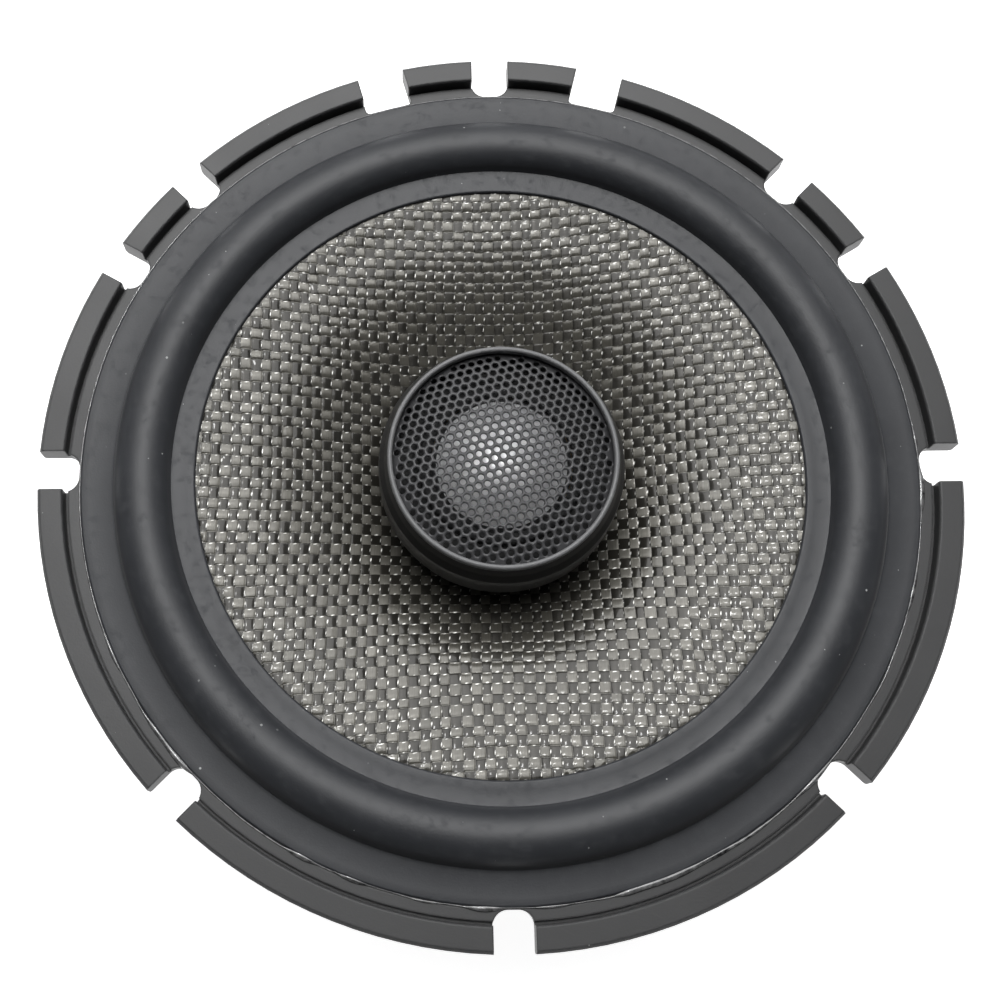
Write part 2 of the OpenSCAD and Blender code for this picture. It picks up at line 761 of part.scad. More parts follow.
// Thin ring at the very front of the pod
module pod_bezel() {
    round_r = bezel_w / 2;
    bottom = pod_top_z - bezel_h;
    color("#8e8f91")
        rotate_extrude()
            polygon(concat(
                [[bezel_r - bezel_w, bottom], [bezel_r, bottom]],
                arc(bezel_r - round_r, pod_top_z - round_r, round_r, round_r, 0, 180, 8)));
}

// Pressed cup of perforated sheet, drawn here as a plain sheet
module tweeter_grille() {
    steps = 10;
    radii = [for (i = [0 : steps]) grille_r * (1 - i / steps)];
    function crest_z(r) = grille_edge_z + grille_crest * (1 - pow(r / grille_r, 3));
    color("#2b2c2f")
        rotate_extrude()
            polygon(concat(
                [[grille_r - grille_t, face_z + face_t], [grille_r, face_z + face_t]],
                [for (r = radii) [r, crest_z(r)]],
                [for (i = [steps : -1 : 1])
                    [min(radii[i], grille_r - grille_t), crest_z(radii[i]) - grille_t]],
                [[grille_r - grille_t, grille_edge_z - grille_t]]));
}

module tweeter_faceplate() {
    lip_in = tweeter_coil_r + 0.55;
    color("#202123")
        rotate_extrude()
            polygon([
                [lip_in, face_z], [pod_inner_r - 0.1, face_z],
                [pod_inner_r - 0.1, face_z + face_t], [dome_d / 2 + 3.4, face_z + face_t],
                [dome_d / 2 + 2.2, dome_z - 0.1], [lip_in, dome_z - 0.1]]);
}

// Metal dome with a short rim that fits the top of its former
module tweeter_dome() {
    r = dome_d / 2;
    sphere_r = (r * r + dome_h * dome_h) / (2 * dome_h);
    span = asin(r / sphere_r);
    wall = 0.15;
    color("#c4c4c6")
        rotate_extrude()
            polygon(concat(
                arc(0, dome_z + dome_h - sphere_r, sphere_r, sphere_r, 90 - span, 90, 14),
                arc(0, dome_z + dome_h - sphere_r, sphere_r - wall, sphere_r - wall,
                    90, 90 - span, 14)));
}

module tweeter_surround() {
    inner = dome_d / 2 + 0.05;
    foot = dome_d / 2 + 1.5;
    outer = dome_d / 2 + 2.2;
    wall = 0.15;
    mid = (inner + foot) / 2;
    color("#39393c")
        rotate_extrude()
            polygon(concat(
                arc(mid, dome_z + wall, (foot - inner) / 2, 0.7, 180, 0, 10),
                [[outer, dome_z + wall], [outer, dome_z], [foot, dome_z]],
                arc(mid, dome_z + wall, (foot - inner) / 2 - wall, 0.7 - wall, 0, 180, 10)));
}

module tweeter_former() {
    color("#c98f4a")
        ring(tweeter_former_r, dome_d / 2, tweeter_plate_z - 0.2, dome_z - 0.2 - tweeter_plate_z);
}

module tweeter_winding() {
    color("#b5622c")
        ring(tweeter_coil_r, tweeter_former_r, tweeter_plate_z, tweeter_plate_t);
}

module tweeter_front_plate() {
    color("#9a9da1")
        translate([0, 0, tweeter_plate_z])
            cylinder(r = tweeter_pole_r, h = tweeter_plate_t);
}

module tweeter_magnet() {
    color("#7f8389")
        translate([0, 0, tweeter_magnet_z])
            cylinder(r = tweeter_pole_r - 0.8, h = tweeter_plate_z - tweeter_magnet_z);
}

module tweeter_cup() {
    color("#9a9da1")
        difference() {
            translate([0, 0, cup_z]) cylinder(r = cup_r, h = cup_depth);
            translate([0, 0, tweeter_magnet_z]) cylinder(r = cup_inner_r, h = cup_depth);
        }
}

module tweeter_felt() {
    color("#4a4a48")
        translate([0, 0, tweeter_plate_z + tweeter_plate_t])
            cylinder(r = tweeter_pole_r - 3, h = 1);
}

basket();
surround();
cone();
coil_former();
coil_winding();
spider();
tinsel_lead_positive();
tinsel_lead_negative();
front_plate();
ring_magnet();
yoke();
magnet_boot();
basket_screws();
terminal_board();
positive_blade();
negative_blade();
blade_rivets();
board_rivet();
capacitor();
capacitor_lead();
tweeter_wire_positive();
tweeter_wire_negative();
tweeter_stud();
stud_washer();
stud_nut();
pod_spacer();
tweeter_pod();
pod_bezel();
tweeter_grille();
tweeter_faceplate();
tweeter_dome();
tweeter_surround();
tweeter_former();
tweeter_winding();
tweeter_front_plate();
tweeter_magnet();
tweeter_cup();
tweeter_felt();
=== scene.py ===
"""Coaxial car loudspeaker: camera, light, finishes and detailed pieces around the CAD frame."""

import math

import bmesh
import bpy
import numpy as np
from mathutils import Euler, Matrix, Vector


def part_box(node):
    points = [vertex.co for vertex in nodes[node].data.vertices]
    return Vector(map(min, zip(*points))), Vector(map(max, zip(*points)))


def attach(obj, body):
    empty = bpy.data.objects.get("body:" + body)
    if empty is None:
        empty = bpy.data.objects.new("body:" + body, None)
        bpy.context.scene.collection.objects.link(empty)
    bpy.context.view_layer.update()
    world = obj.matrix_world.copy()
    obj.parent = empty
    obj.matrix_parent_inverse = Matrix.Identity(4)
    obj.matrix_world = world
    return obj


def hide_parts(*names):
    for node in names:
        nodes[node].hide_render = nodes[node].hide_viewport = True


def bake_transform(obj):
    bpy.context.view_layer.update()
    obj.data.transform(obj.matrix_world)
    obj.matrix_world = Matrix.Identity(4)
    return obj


MM = 0.001

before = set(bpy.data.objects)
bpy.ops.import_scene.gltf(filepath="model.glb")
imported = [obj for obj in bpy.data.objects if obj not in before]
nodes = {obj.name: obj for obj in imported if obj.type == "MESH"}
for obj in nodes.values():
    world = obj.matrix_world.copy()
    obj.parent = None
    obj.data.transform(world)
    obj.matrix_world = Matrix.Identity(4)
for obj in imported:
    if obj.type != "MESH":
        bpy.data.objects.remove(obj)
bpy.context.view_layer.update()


# ---------------------------------------------------------------- sizes, in millimetres

def reach(node):
    """Largest radius of a round node."""
    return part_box(node)[1].x / MM


def top(node):
    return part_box(node)[1].z / MM


def foot(node):
    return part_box(node)[0].z / MM


RIM_Z = top("basket")
RIM_H = 2.0
LIP_T = 1.1
OUTER_LIP_W = 6.1
ROLL_W = 9.9
INNER_LIP_W = 4.5
LIP_R = reach("surround")
LIP_Z = foot("surround") + LIP_T
ROLL_H = top("surround") - LIP_Z
ROLL_OUTER_R = LIP_R - OUTER_LIP_W
ROLL_INNER_R = ROLL_OUTER_R - ROLL_W
CONE_EDGE_R = ROLL_INNER_R - INNER_LIP_W
CONE_EDGE_Z = top("cone")
CONE_NECK_R = 13.05
CONE_DEPTH = 14.0
CONE_CURVE = 1.7
FLANGE_TOP_Z = RIM_Z - RIM_H
GRILLE_R = reach("tweeter_grille")
GRILLE_FOOT_Z = foot("tweeter_grille")
DOME_R = 12.6
SPIDER_R = reach("spider")
SPIDER_WAVE, SPIDER_HALF_T = 0.9, 0.25
SPIDER_Z = foot("spider") + SPIDER_WAVE + SPIDER_HALF_T


def cone_height(r):
    """Height of the cone's front face at radius r."""
    inward = np.clip((CONE_EDGE_R - r) / (CONE_EDGE_R - CONE_NECK_R), 0, 1)
    return CONE_EDGE_Z - CONE_DEPTH * inward ** CONE_CURVE


def ease(t):
    t = np.clip(t, 0, 1)
    return t * t * (3 - 2 * t)


# ---------------------------------------------------------------- camera and light

def set_camera():
    data = bpy.data.cameras.new("camera")
    data.sensor_width = 36
    data.lens = 53.1
    data.shift_x, data.shift_y = 0.085, -0.0555
    data.clip_start, data.clip_end = 0.02, 20
    camera = bpy.data.objects.new("camera", data)
    camera.location = Vector((-17.8, -74.0, RIM_Z + 252.2)) * MM
    camera.rotation_euler = Euler([math.radians(a) for a in (17.216, -0.364, -0.625)])
    bpy.context.collection.objects.link(camera)
    bpy.context.scene.camera = camera


def hang_softbox(name, place, width, height, power, aim=(0, 0, 0.06)):
    data = bpy.data.lights.new(name, "AREA")
    data.shape = "RECTANGLE"
    data.size, data.size_y = width, height
    data.energy = power
    lamp = bpy.data.objects.new(name, data)
    lamp.location = place
    direction = Vector(aim) - Vector(place)
    lamp.rotation_euler = direction.to_track_quat("-Z", "Y").to_euler()
    bpy.context.collection.objects.link(lamp)


def light_studio():
    """A large softbox, a small lamp and two strips in a dim room, paler behind the part."""
    world = bpy.data.worlds.new("studio")
    world.use_nodes = True
    bpy.context.scene.world = world
    tree = world.node_tree
    background = tree.nodes["Background"]
    background.inputs["Strength"].default_value = 1.0
    aim = put(tree, "ShaderNodeSeparateXYZ",
              {"Vector": put(tree, "ShaderNodeTexCoord").outputs["Generated"]}).outputs
    behind = spread(tree, aim["Y"], -0.15, 0.85, 0.0, 1.0)
    room = blend_colours(tree, behind, (0.028, 0.029, 0.031), (0.40, 0.405, 0.42))
    seen = put(tree, "ShaderNodeLightPath").outputs["Is Camera Ray"]
    feed(tree, blend_colours(tree, seen, room, (1.0, 1.0, 1.0)), background, "Color")
    hang_softbox("overhead_softbox", (-0.05, 0.42, 0.98), 0.80, 0.92, 9.5)
    hang_softbox("work_lamp", (-0.05, 0.30, 1.00), 0.08, 0.08, 1.0)
    hang_softbox("window_strip", (-0.55, 0.62, 0.60), 0.06, 0.40, 0.4)
    hang_softbox("far_strip", (0.42, 0.66, 0.70), 0.40, 0.05, 0.5)
    bpy.context.scene.view_settings.view_transform = "Standard"


def lay_floor():
    size = 3.0
    mesh = bpy.data.meshes.new("floor")
    mesh.from_pydata([(-size, -size, 0), (size, -size, 0), (size, size, 0), (-size, size, 0)],
                     [], [(0, 1, 2, 3)])
    floor = bpy.data.objects.new("floor", mesh)
    bpy.context.collection.objects.link(floor)
    finish, tree, shader = new_finish("white_floor", (0.9, 0.9, 0.9), 0.8)
    shader.inputs["Emission Color"].default_value = (1, 1, 1, 1)
    shader.inputs["Emission Strength"].default_value = 0.90
    cloud = put(tree, "ShaderNodeTexNoise", {"Scale": 3.0})
    feed(tree, blend_colours(tree, cloud.outputs["Fac"], (0.90, 0.90, 0.90), (0.93, 0.93, 0.93)),
         shader, "Base Color")
    mesh.materials.append(finish)


# ---------------------------------------------------------------- shader helpers

def connect(tree, value, socket):
    """Links a socket's output, or sets a plain value."""
    if isinstance(value, bpy.types.NodeSocket):
        tree.links.new(value, socket)
    elif isinstance(value, (tuple, list)) and socket.type == "RGBA":
        socket.default_value = (*value[:3], 1)
    else:
        socket.default_value = value


def put(tree, kind, inputs=None, **settings):
    """Adds a node, with its inputs linked or set."""
    node = tree.nodes.new(kind)
    for key, value in settings.items():
        setattr(node, key, value)
    for key, value in (inputs or {}).items():
        connect(tree, value, node.inputs[key])
    return node


def feed(tree, value, shader, socket):
    connect(tree, value, shader.inputs[socket])


def calc(tree, operation, a, b=0.0, clamp=False):
    node = put(tree, "ShaderNodeMath", {0: a, 1: b}, operation=operation, use_clamp=clamp)
    return node.outputs[0]


def spread(tree, value, low, high, to_low=0.0, to_high=1.0):
    """Maps low..high to to_low..to_high, clamped."""
    return put(tree, "ShaderNodeMapRange", {"Value": value, "From Min": low, "From Max": high,
               "To Min": to_low, "To Max": to_high}).outputs["Result"]


def blend_colours(tree, factor, a, b):
    node = put(tree, "ShaderNodeMix", data_type="RGBA")
    connect(tree, factor, node.inputs[0])
    connect(tree, a, node.inputs[6])
    connect(tree, b, node.inputs[7])
    return node.outputs[2]


def place_of(tree):
    """Position in the part's own frame, in millimetres."""
    where = put(tree, "ShaderNodeTexCoord").outputs["Object"]
    scaled = put(tree, "ShaderNodeVectorMath", {0: where}, operation="SCALE")
    scaled.inputs["Scale"].default_value = 1 / MM
    return scaled.outputs["Vector"]


def stretch(tree, vector, factors):
    return put(tree, "ShaderNodeVectorMath", {0: vector, 1: factors},
               operation="MULTIPLY").outputs["Vector"]


def new_finish(name, colour, roughness, metallic=0.0, **fixed):
    material = bpy.data.materials.new(name + "_finish")
    material.use_nodes = True
    shader = material.node_tree.nodes["Principled BSDF"]
    shader.inputs["Base Color"].default_value = (*colour, 1)
    shader.inputs["Roughness"].default_value = roughness
    shader.inputs["Metallic"].default_value = metallic
    for key, value in fixed.items():
        shader.inputs[key.replace("_", " ").title().replace("Ior", "IOR")].default_value = value
    return material, material.node_tree, shader


def new_group(name, inputs, outputs):
    """A node group with named sockets. Each is (name, kind, value)."""
    tree = bpy.data.node_groups.new(name, "ShaderNodeTree")
    for label, kind, value in inputs:
        socket = tree.interface.new_socket(label, in_out="INPUT", socket_type="NodeSocket" + kind)
        if value is not None:
            socket.default_value = value
    for label, kind in outputs:
        tree.interface.new_socket(label, in_out="OUTPUT", socket_type="NodeSocket" + kind)
    return tree, tree.nodes.new("NodeGroupInput").outputs, tree.nodes.new("NodeGroupOutput")


def use_group(tree, name, inputs):
    node = tree.nodes.new("ShaderNodeGroup")
    node.node_tree = bpy.data.node_groups[name]
    for key, value in inputs.items():
        connect(tree, value, node.inputs[key])
    return node.outputs


# ---------------------------------------------------------------- shared effects

def make_moulded_grain():
    """Fine pebbled grain of a moulded or cast skin."""
    tree, given, out = new_group(
        "moulded_grain",
        [("Place", "Vector", None), ("Size", "Float", 0.3), ("Patch Size", "Float", 20.0)],
        [("Height", "Float"), ("Patches", "Float")])
    fine = calc(tree, "DIVIDE", 1.0, given["Size"])
    pebbles = put(tree, "ShaderNodeTexVoronoi", {"Vector": given["Place"], "Scale": fine},
                  feature="SMOOTH_F1")
    specks = put(tree, "ShaderNodeTexNoise", {"Vector": given["Place"], "Scale": fine,
                 "Detail": 3.0, "Roughness": 0.6})
    height = calc(tree, "ADD", calc(tree, "MULTIPLY", pebbles.outputs["Distance"], 0.6),
                  specks.outputs["Fac"])
    wide = calc(tree, "DIVIDE", 1.0, given["Patch Size"])
    patches = put(tree, "ShaderNodeTexNoise", {"Vector": given["Place"], "Scale": wide,
                  "Detail": 4.0, "Roughness": 0.6})
    tree.links.new(height, out.inputs["Height"])
    tree.links.new(spread(tree, patches.outputs["Fac"], 0.3, 0.7), out.inputs["Patches"])


def make_edge_wear():
    """Where an edge is rounded and rubbed, and the normal that rounds it."""
    tree, given, out = new_group(
        "edge_wear",
        [("Place", "Vector", None), ("Radius", "Float", 0.0004), ("Break Up", "Float", 1.0)],
        [("Mask", "Float"), ("Normal", "Vector")])
    rounded = put(tree, "ShaderNodeBevel", {"Radius": given["Radius"]}, samples=4)
    plain = put(tree, "ShaderNodeNewGeometry")
    alike = put(tree, "ShaderNodeVectorMath",
                {0: rounded.outputs["Normal"], 1: plain.outputs["Normal"]},
                operation="DOT_PRODUCT").outputs["Value"]
    edge = spread(tree, alike, 0.995, 0.85)
    rough = put(tree, "ShaderNodeTexNoise", {"Vector": given["Place"], "Scale": 1.1,
                "Detail": 4.0, "Roughness": 0.7})
    broken = spread(tree, rough.outputs["Fac"], 0.38, 0.62)
    kept = calc(tree, "MAXIMUM", broken, calc(tree, "SUBTRACT", 1.0, given["Break Up"]))
    tree.links.new(calc(tree, "MULTIPLY", edge, kept), out.inputs["Mask"])
    tree.links.new(rounded.outputs["Normal"], out.inputs["Normal"])


def make_dust():
    """Sparse pale specks of dust and lint."""
    tree, given, out = new_group(
        "dust_specks",
        [("Place", "Vector", None), ("Spacing", "Float", 3.0), ("Speck Size", "Float", 0.12)],
        [("Mask", "Float")])
    per_mm = calc(tree, "DIVIDE", 1.0, given["Spacing"])
    cells = put(tree, "ShaderNodeTexVoronoi", {"Vector": given["Place"], "Scale": per_mm})
    reach_share = calc(tree, "MULTIPLY", given["Speck Size"], per_mm)
    apart = put(tree, "ShaderNodeSeparateColor", {"Color": cells.outputs["Color"]})
    size = calc(tree, "MULTIPLY", reach_share, calc(tree, "POWER", apart.outputs[0], 2.5))
    near = calc(tree, "LESS_THAN", cells.outputs["Distance"], size)
    tree.links.new(calc(tree, "MULTIPLY", near, apart.outputs[1]), out.inputs["Mask"])


def make_scuffs():
    """Fine marks left by handling, running in two directions."""
    tree, given, out = new_group(
        "handling_scuffs",
        [("Place", "Vector", None), ("Length", "Float", 6.0), ("Width", "Float", 0.12)],
        [("Mask", "Float")])
    marks = []
    for turn in (0.5, 2.2):
        turned = put(tree, "ShaderNodeVectorRotate", {"Vector": given["Place"], "Angle": turn},
                     rotation_type="Z_AXIS").outputs["Vector"]
        along = calc(tree, "DIVIDE", 1.0, given["Length"])
        across = calc(tree, "DIVIDE", 1.0, given["Width"])
        parts = put(tree, "ShaderNodeCombineXYZ", {"X": along, "Y": across, "Z": along})
        lines = put(tree, "ShaderNodeTexNoise", {
            "Vector": put(tree, "ShaderNodeVectorMath", {0: turned, 1: parts.outputs[0]},
                          operation="MULTIPLY").outputs["Vector"],
            "Scale": 1.0, "Detail": 2.0})
        marks.append(spread(tree, lines.outputs["Fac"], 0.66, 0.74))
    both = calc(tree, "MAXIMUM", marks[0], marks[1])
    tree.links.new(both, out.inputs["Mask"])


def make_plain_weave():
    """Over-and-under cloth seen along Z: height, which thread is on top, and a mask of the low
    gaps between threads for painted shade.
    """
    tree, given, out = new_group(
        "plain_weave",
        [("Place", "Vector", None), ("Pitch", "Float", 1.9)],
        [("Height", "Float"), ("Lengthwise", "Float"), ("Painted Gap Shade", "Float")])
    per_mm = calc(tree, "DIVIDE", 1.0, given["Pitch"])
    where = put(tree, "ShaderNodeVectorMath", {0: given["Place"]}, operation="SCALE")
    tree.links.new(per_mm, where.inputs["Scale"])
    axes = put(tree, "ShaderNodeSeparateXYZ", {"Vector": where.outputs["Vector"]})
    cell, local = [], []
    for axis in ("X", "Y"):
        floor = calc(tree, "FLOOR", axes.outputs[axis])
        cell.append(floor)
        share = calc(tree, "SUBTRACT", axes.outputs[axis], floor)
        local.append(calc(tree, "SUBTRACT", share, 0.5))
    parity = calc(tree, "PINGPONG", calc(tree, "ADD", cell[0], cell[1]), 1.0)
    crest = [calc(tree, "COSINE", calc(tree, "MULTIPLY", t, math.pi)) for t in local]
    side = [calc(tree, "SUBTRACT", 1.0, calc(tree, "POWER", calc(tree, "MULTIPLY",
            calc(tree, "ABSOLUTE", t), 2.1), 4.0)) for t in local]
    lengthwise = calc(tree, "ADD", crest[1], side[0])
    crosswise = calc(tree, "ADD", crest[0], side[1])
    height = put(tree, "ShaderNodeMix", {0: parity, 2: lengthwise, 3: crosswise})
    tree.links.new(height.outputs[0], out.inputs["Height"])
    tree.links.new(parity, out.inputs["Lengthwise"])
    # Mask of the low gaps between threads, used for painted shade
    tree.links.new(spread(tree, height.outputs[0], 0.35, 0.0), out.inputs["Painted Gap Shade"])


def raise_bump(tree, height, distance_mm, strength=1.0, normal=None):
    node = put(tree, "ShaderNodeBump", {"Height": height, "Distance": distance_mm * MM,
               "Strength": strength})
    if normal is not None:
        tree.links.new(normal, node.inputs["Normal"])
    return node.outputs["Normal"]


# ---------------------------------------------------------------- finishes

def moulded_finish(name, dark, light, roughness, grain=0.3, grain_depth=0.012, edge=None,
                   edge_radius=0.4, dust=0.0, scuffs=0.0, **fixed):
    """Grained moulding or paint, with patches, rubbed edges, scuffs and dust."""
    finish, tree, shader = new_finish(name, dark, roughness, **fixed)
    place = place_of(tree)
    skin = use_group(tree, "moulded_grain", {"Place": place, "Size": grain})
    wear = use_group(tree, "edge_wear", {"Place": place, "Radius": edge_radius * MM})
    colour = blend_colours(tree, skin["Patches"], dark, light)
    rough = spread(tree, skin["Patches"], 0, 1, roughness - 0.05, roughness + 0.06)
    if edge:
        colour = blend_colours(tree, calc(tree, "MULTIPLY", wear["Mask"], 0.6), colour, edge)
    if scuffs:
        marks = use_group(tree, "handling_scuffs", {"Place": place})
        strength = calc(tree, "MULTIPLY", marks["Mask"], scuffs)
        colour = blend_colours(tree, strength, colour, tuple(min(1, c * 2.6) for c in light))
        rough = calc(tree, "ADD", rough, calc(tree, "MULTIPLY", strength, 0.15))
    if dust:
        specks = use_group(tree, "dust_specks", {"Place": place})
        colour = blend_colours(tree, calc(tree, "MULTIPLY", specks["Mask"], dust),
                               colour, (0.62, 0.63, 0.62))
    feed(tree, colour, shader, "Base Color")
    feed(tree, rough, shader, "Roughness")
    feed(tree, raise_bump(tree, skin["Height"], grain_depth, normal=wear["Normal"]),
         shader, "Normal")
    return finish


def metal_finish(name, colour, roughness, tint=None, stain=0.3, edge_radius=0.15, metallic=1.0,
                 brushed=0.0):
    """Plated, drawn or turned metal with faint stains."""
    finish, tree, shader = new_finish(name, colour, roughness, metallic)
    place = place_of(tree)
    skin = use_group(tree, "moulded_grain", {"Place": place, "Size": 0.18, "Patch Size": 6.0})
    wear = use_group(tree, "edge_wear", {"Place": place, "Radius": edge_radius * MM})
    worn = calc(tree, "MULTIPLY", skin["Patches"], stain)
    base = blend_colours(tree, worn, colour, tint or tuple(c * 0.6 for c in colour))
    base = blend_colours(tree, calc(tree, "MULTIPLY", wear["Mask"], 0.5), base,
                         tuple(min(1, c * 1.25) for c in colour))
    rough = calc(tree, "ADD", roughness, calc(tree, "MULTIPLY", worn, 0.35))
    height = skin["Height"]
    if brushed:
        lines = put(tree, "ShaderNodeTexNoise", {
            "Vector": stretch(tree, place, (14.0, 0.5, 0.5)), "Scale": 1.0, "Detail": 3.0})
        height = calc(tree, "ADD", height, calc(tree, "MULTIPLY", lines.outputs["Fac"], brushed))
    feed(tree, base, shader, "Base Color")
    feed(tree, rough, shader, "Roughness")
    feed(tree, raise_bump(tree, height, 0.006, normal=wear["Normal"]), shader, "Normal")
    return finish


def surround_rubber():
    """Blue-black rubber: matt skin, lint, and a paler bloom on the lips."""
    dark, light = (0.024, 0.0257, 0.0295), (0.033, 0.035, 0.0395)
    finish, tree, shader = new_finish("surround_rubber", dark, 0.55, sheen_weight=0.12,
                                      sheen_roughness=0.45)
    place = place_of(tree)
    skin = use_group(tree, "moulded_grain", {"Place": place, "Size": 0.35, "Patch Size": 14.0})
    bloom = put(tree, "ShaderNodeTexNoise", {"Vector": stretch(tree, place, (0.5, 0.5, 0.5)),
                "Scale": 1.0, "Detail": 6.0, "Roughness": 0.72})
    smears = spread(tree, bloom.outputs["Fac"], 0.52, 0.72)
    specks = use_group(tree, "dust_specks", {"Place": place, "Spacing": 2.6, "Speck Size": 0.25})
    colour = blend_colours(tree, skin["Patches"], dark, light)
    colour = blend_colours(tree, calc(tree, "MULTIPLY", smears, 0.16), colour, (0.11, 0.115, 0.12))
    colour = blend_colours(tree, calc(tree, "MULTIPLY", specks["Mask"], 0.8), colour,
                           (0.60, 0.61, 0.60))
    rough = spread(tree, smears, 0, 1, 0.46, 0.66)
    feed(tree, colour, shader, "Base Color")
    feed(tree, rough, shader, "Roughness")
    feed(tree, raise_bump(tree, skin["Height"], 0.010), shader, "Normal")
    return finish


def tow_finish(name, along_rows):
    """Metallised glass tow under clear resin. Fibres run along or across the rows. Row tows are
    painted far darker than column tows: painted reflection and shade.
    """
    finish, tree, shader = new_finish(name, (0.07, 0.066, 0.056), 0.42, 0.36, anisotropic=0.9,
                                      anisotropic_rotation=0.25 if along_rows else 0.0,
                                      specular_ior_level=0.25 if along_rows else 0.6,
                                      coat_weight=0.38, coat_roughness=0.06, coat_ior=1.5)
    tangent = put(tree, "ShaderNodeTangent", direction_type="UV_MAP", uv_map="tows")
    tree.links.new(tangent.outputs[0], shader.inputs["Tangent"])
    threads = put(tree, "ShaderNodeUVMap", uv_map="tows").outputs["UV"]
    factors = (0.7, 13.0, 1.0) if along_rows else (13.0, 0.7, 1.0)
    fibres = put(tree, "ShaderNodeTexNoise", {"Vector": stretch(tree, threads, factors),
                 "Scale": 1.0, "Detail": 2.0})
    tone = put(tree, "ShaderNodeAttribute", attribute_name="tow_tone").outputs["Fac"]
    depth = put(tree, "ShaderNodeAttribute", attribute_name="tow_depth").outputs["Fac"]
    glint = put(tree, "ShaderNodeAttribute", attribute_name="painted_glint").outputs["Fac"]
    # Painted reflection and shade: row tows get dark colours and column tows light ones, standing
    # in for how each fibre direction reflects the lights
    dark, light = ((0.020, 0.0188, 0.0155), (0.042, 0.039, 0.033)) if along_rows else (
        (0.085, 0.081, 0.067), (0.155, 0.147, 0.124))
    colour = blend_colours(tree, tone, dark, light)
    fine = spread(tree, fibres.outputs["Fac"], 0.3, 0.7)
    colour = blend_colours(tree, calc(tree, "MULTIPLY", fine, 0.30), colour,
                           (0.025, 0.0235, 0.020))
    # Painted shade: the low places between tows, where tow_depth is small, are darkened
    colour = blend_colours(tree, spread(tree, depth, 0.30, 0.0), colour, (0.012, 0.011, 0.009))
    # Painted highlight: pale dots at the tow ends stand in for glints of light
    colour = blend_colours(tree, spread(tree, glint, 0.30, 0.75), colour, (0.90, 0.89, 0.84))
    rough = calc(tree, "ADD", spread(tree, tone, 0, 1, 0.36, 0.28),
                 calc(tree, "MULTIPLY", fine, 0.05))
    feed(tree, colour, shader, "Base Color")
    feed(tree, rough, shader, "Roughness")
    feed(tree, raise_bump(tree, fibres.outputs["Fac"], 0.016), shader, "Normal")
    return finish


def cloth_finish(name, dark, light, pitch, depth, roughness, gap_shade_colour, metallic=0.0, **fixed):
    """Woven cloth soaked in resin, as on the spider or the back of the cone. The low gaps between
    threads are painted dark as shade.
    """
    finish, tree, shader = new_finish(name, light, roughness, metallic, **fixed)
    place = place_of(tree)
    weave = use_group(tree, "plain_weave", {"Place": place, "Pitch": pitch})
    skin = use_group(tree, "moulded_grain", {"Place": place, "Size": 0.15, "Patch Size": 9.0})
    colour = blend_colours(tree, skin["Patches"], dark, light)
    colour = blend_colours(tree, calc(tree, "MULTIPLY", weave["Lengthwise"], 0.22), colour, dark)
    # Painted shade: the low gaps between threads take the dark gap colour
    colour = blend_colours(tree, weave["Painted Gap Shade"], colour, gap_shade_colour)
    feed(tree, colour, shader, "Base Color")
    feed(tree, spread(tree, weave["Height"], 0, 2, roughness + 0.12, roughness),
         shader, "Roughness")
    feed(tree, raise_bump(tree, weave["Height"], depth), shader, "Normal")
    return finish


def glossy_finish(name, dark, light, roughness, patch=3.0, **fixed):
    """Smooth gloss: glue, sleeve or wire insulation."""
    finish, tree, shader = new_finish(name, dark, roughness, **fixed)
    place = place_of(tree)
    skin = use_group(tree, "moulded_grain", {"Place": place, "Size": 0.8, "Patch Size": patch})
    feed(tree, blend_colours(tree, skin["Patches"], dark, light), shader, "Base Color")
    feed(tree, spread(tree, skin["Patches"], 0, 1, roughness - 0.03, roughness + 0.08),
         shader, "Roughness")
    feed(tree, raise_bump(tree, skin["Height"], 0.01), shader, "Normal")
    return finish


def wound_wire_finish():
    """Enamelled copper turns, one beside the other up the former, with painted shade in the
    grooves between turns.
    """
    finish, tree, shader = new_finish("enamelled_copper", (0.55, 0.22, 0.09), 0.3, 1.0,
                                      coat_weight=0.6, coat_roughness=0.08)
    place = place_of(tree)
    turns = put(tree, "ShaderNodeTexWave", {"Vector": place, "Scale": 1.35, "Distortion": 0.0},
                wave_type="BANDS", bands_direction="Z", wave_profile="SIN")
    skin = use_group(tree, "moulded_grain", {"Place": place, "Size": 0.3, "Patch Size": 5.0})
    colour = blend_colours(tree, skin["Patches"], (0.50, 0.19, 0.07), (0.66, 0.29, 0.12))
    # Painted shade: darker in the grooves between the turns
    colour = blend_colours(tree, spread(tree, turns.outputs["Fac"], 0.25, 0.0), colour,
                           (0.10, 0.03, 0.01))
    feed(tree, colour, shader, "Base Color")
    feed(tree, raise_bump(tree, turns.outputs["Fac"], 0.08), shader, "Normal")
    return finish


def dome_finish():
    """Drawn aluminium dome: soft sheen with faint rings and handling marks."""
    finish, tree, shader = new_finish("drawn_aluminium", (0.80, 0.80, 0.82), 0.36, 0.35)
    place = place_of(tree)
    axes = put(tree, "ShaderNodeSeparateXYZ", {"Vector": place})
    radius = calc(tree, "SQRT", calc(tree, "ADD", calc(tree, "POWER", axes.outputs["X"], 2.0),
                                     calc(tree, "POWER", axes.outputs["Y"], 2.0)))
    rings = put(tree, "ShaderNodeTexNoise", {
        "Vector": put(tree, "ShaderNodeCombineXYZ", {"X": radius}).outputs[0],
        "Scale": 6.0, "Detail": 3.0})
    patches = put(tree, "ShaderNodeTexNoise", {"Vector": place, "Scale": 0.35, "Detail": 3.0})
    colour = blend_colours(tree, spread(tree, patches.outputs["Fac"], 0.35, 0.65),
                           (0.84, 0.84, 0.86), (0.97, 0.97, 0.97))
    feed(tree, colour, shader, "Base Color")
    feed(tree, spread(tree, rings.outputs["Fac"], 0.3, 0.7, 0.32, 0.42), shader, "Roughness")
    feed(tree, raise_bump(tree, rings.outputs["Fac"], 0.004), shader, "Normal")
    return finish


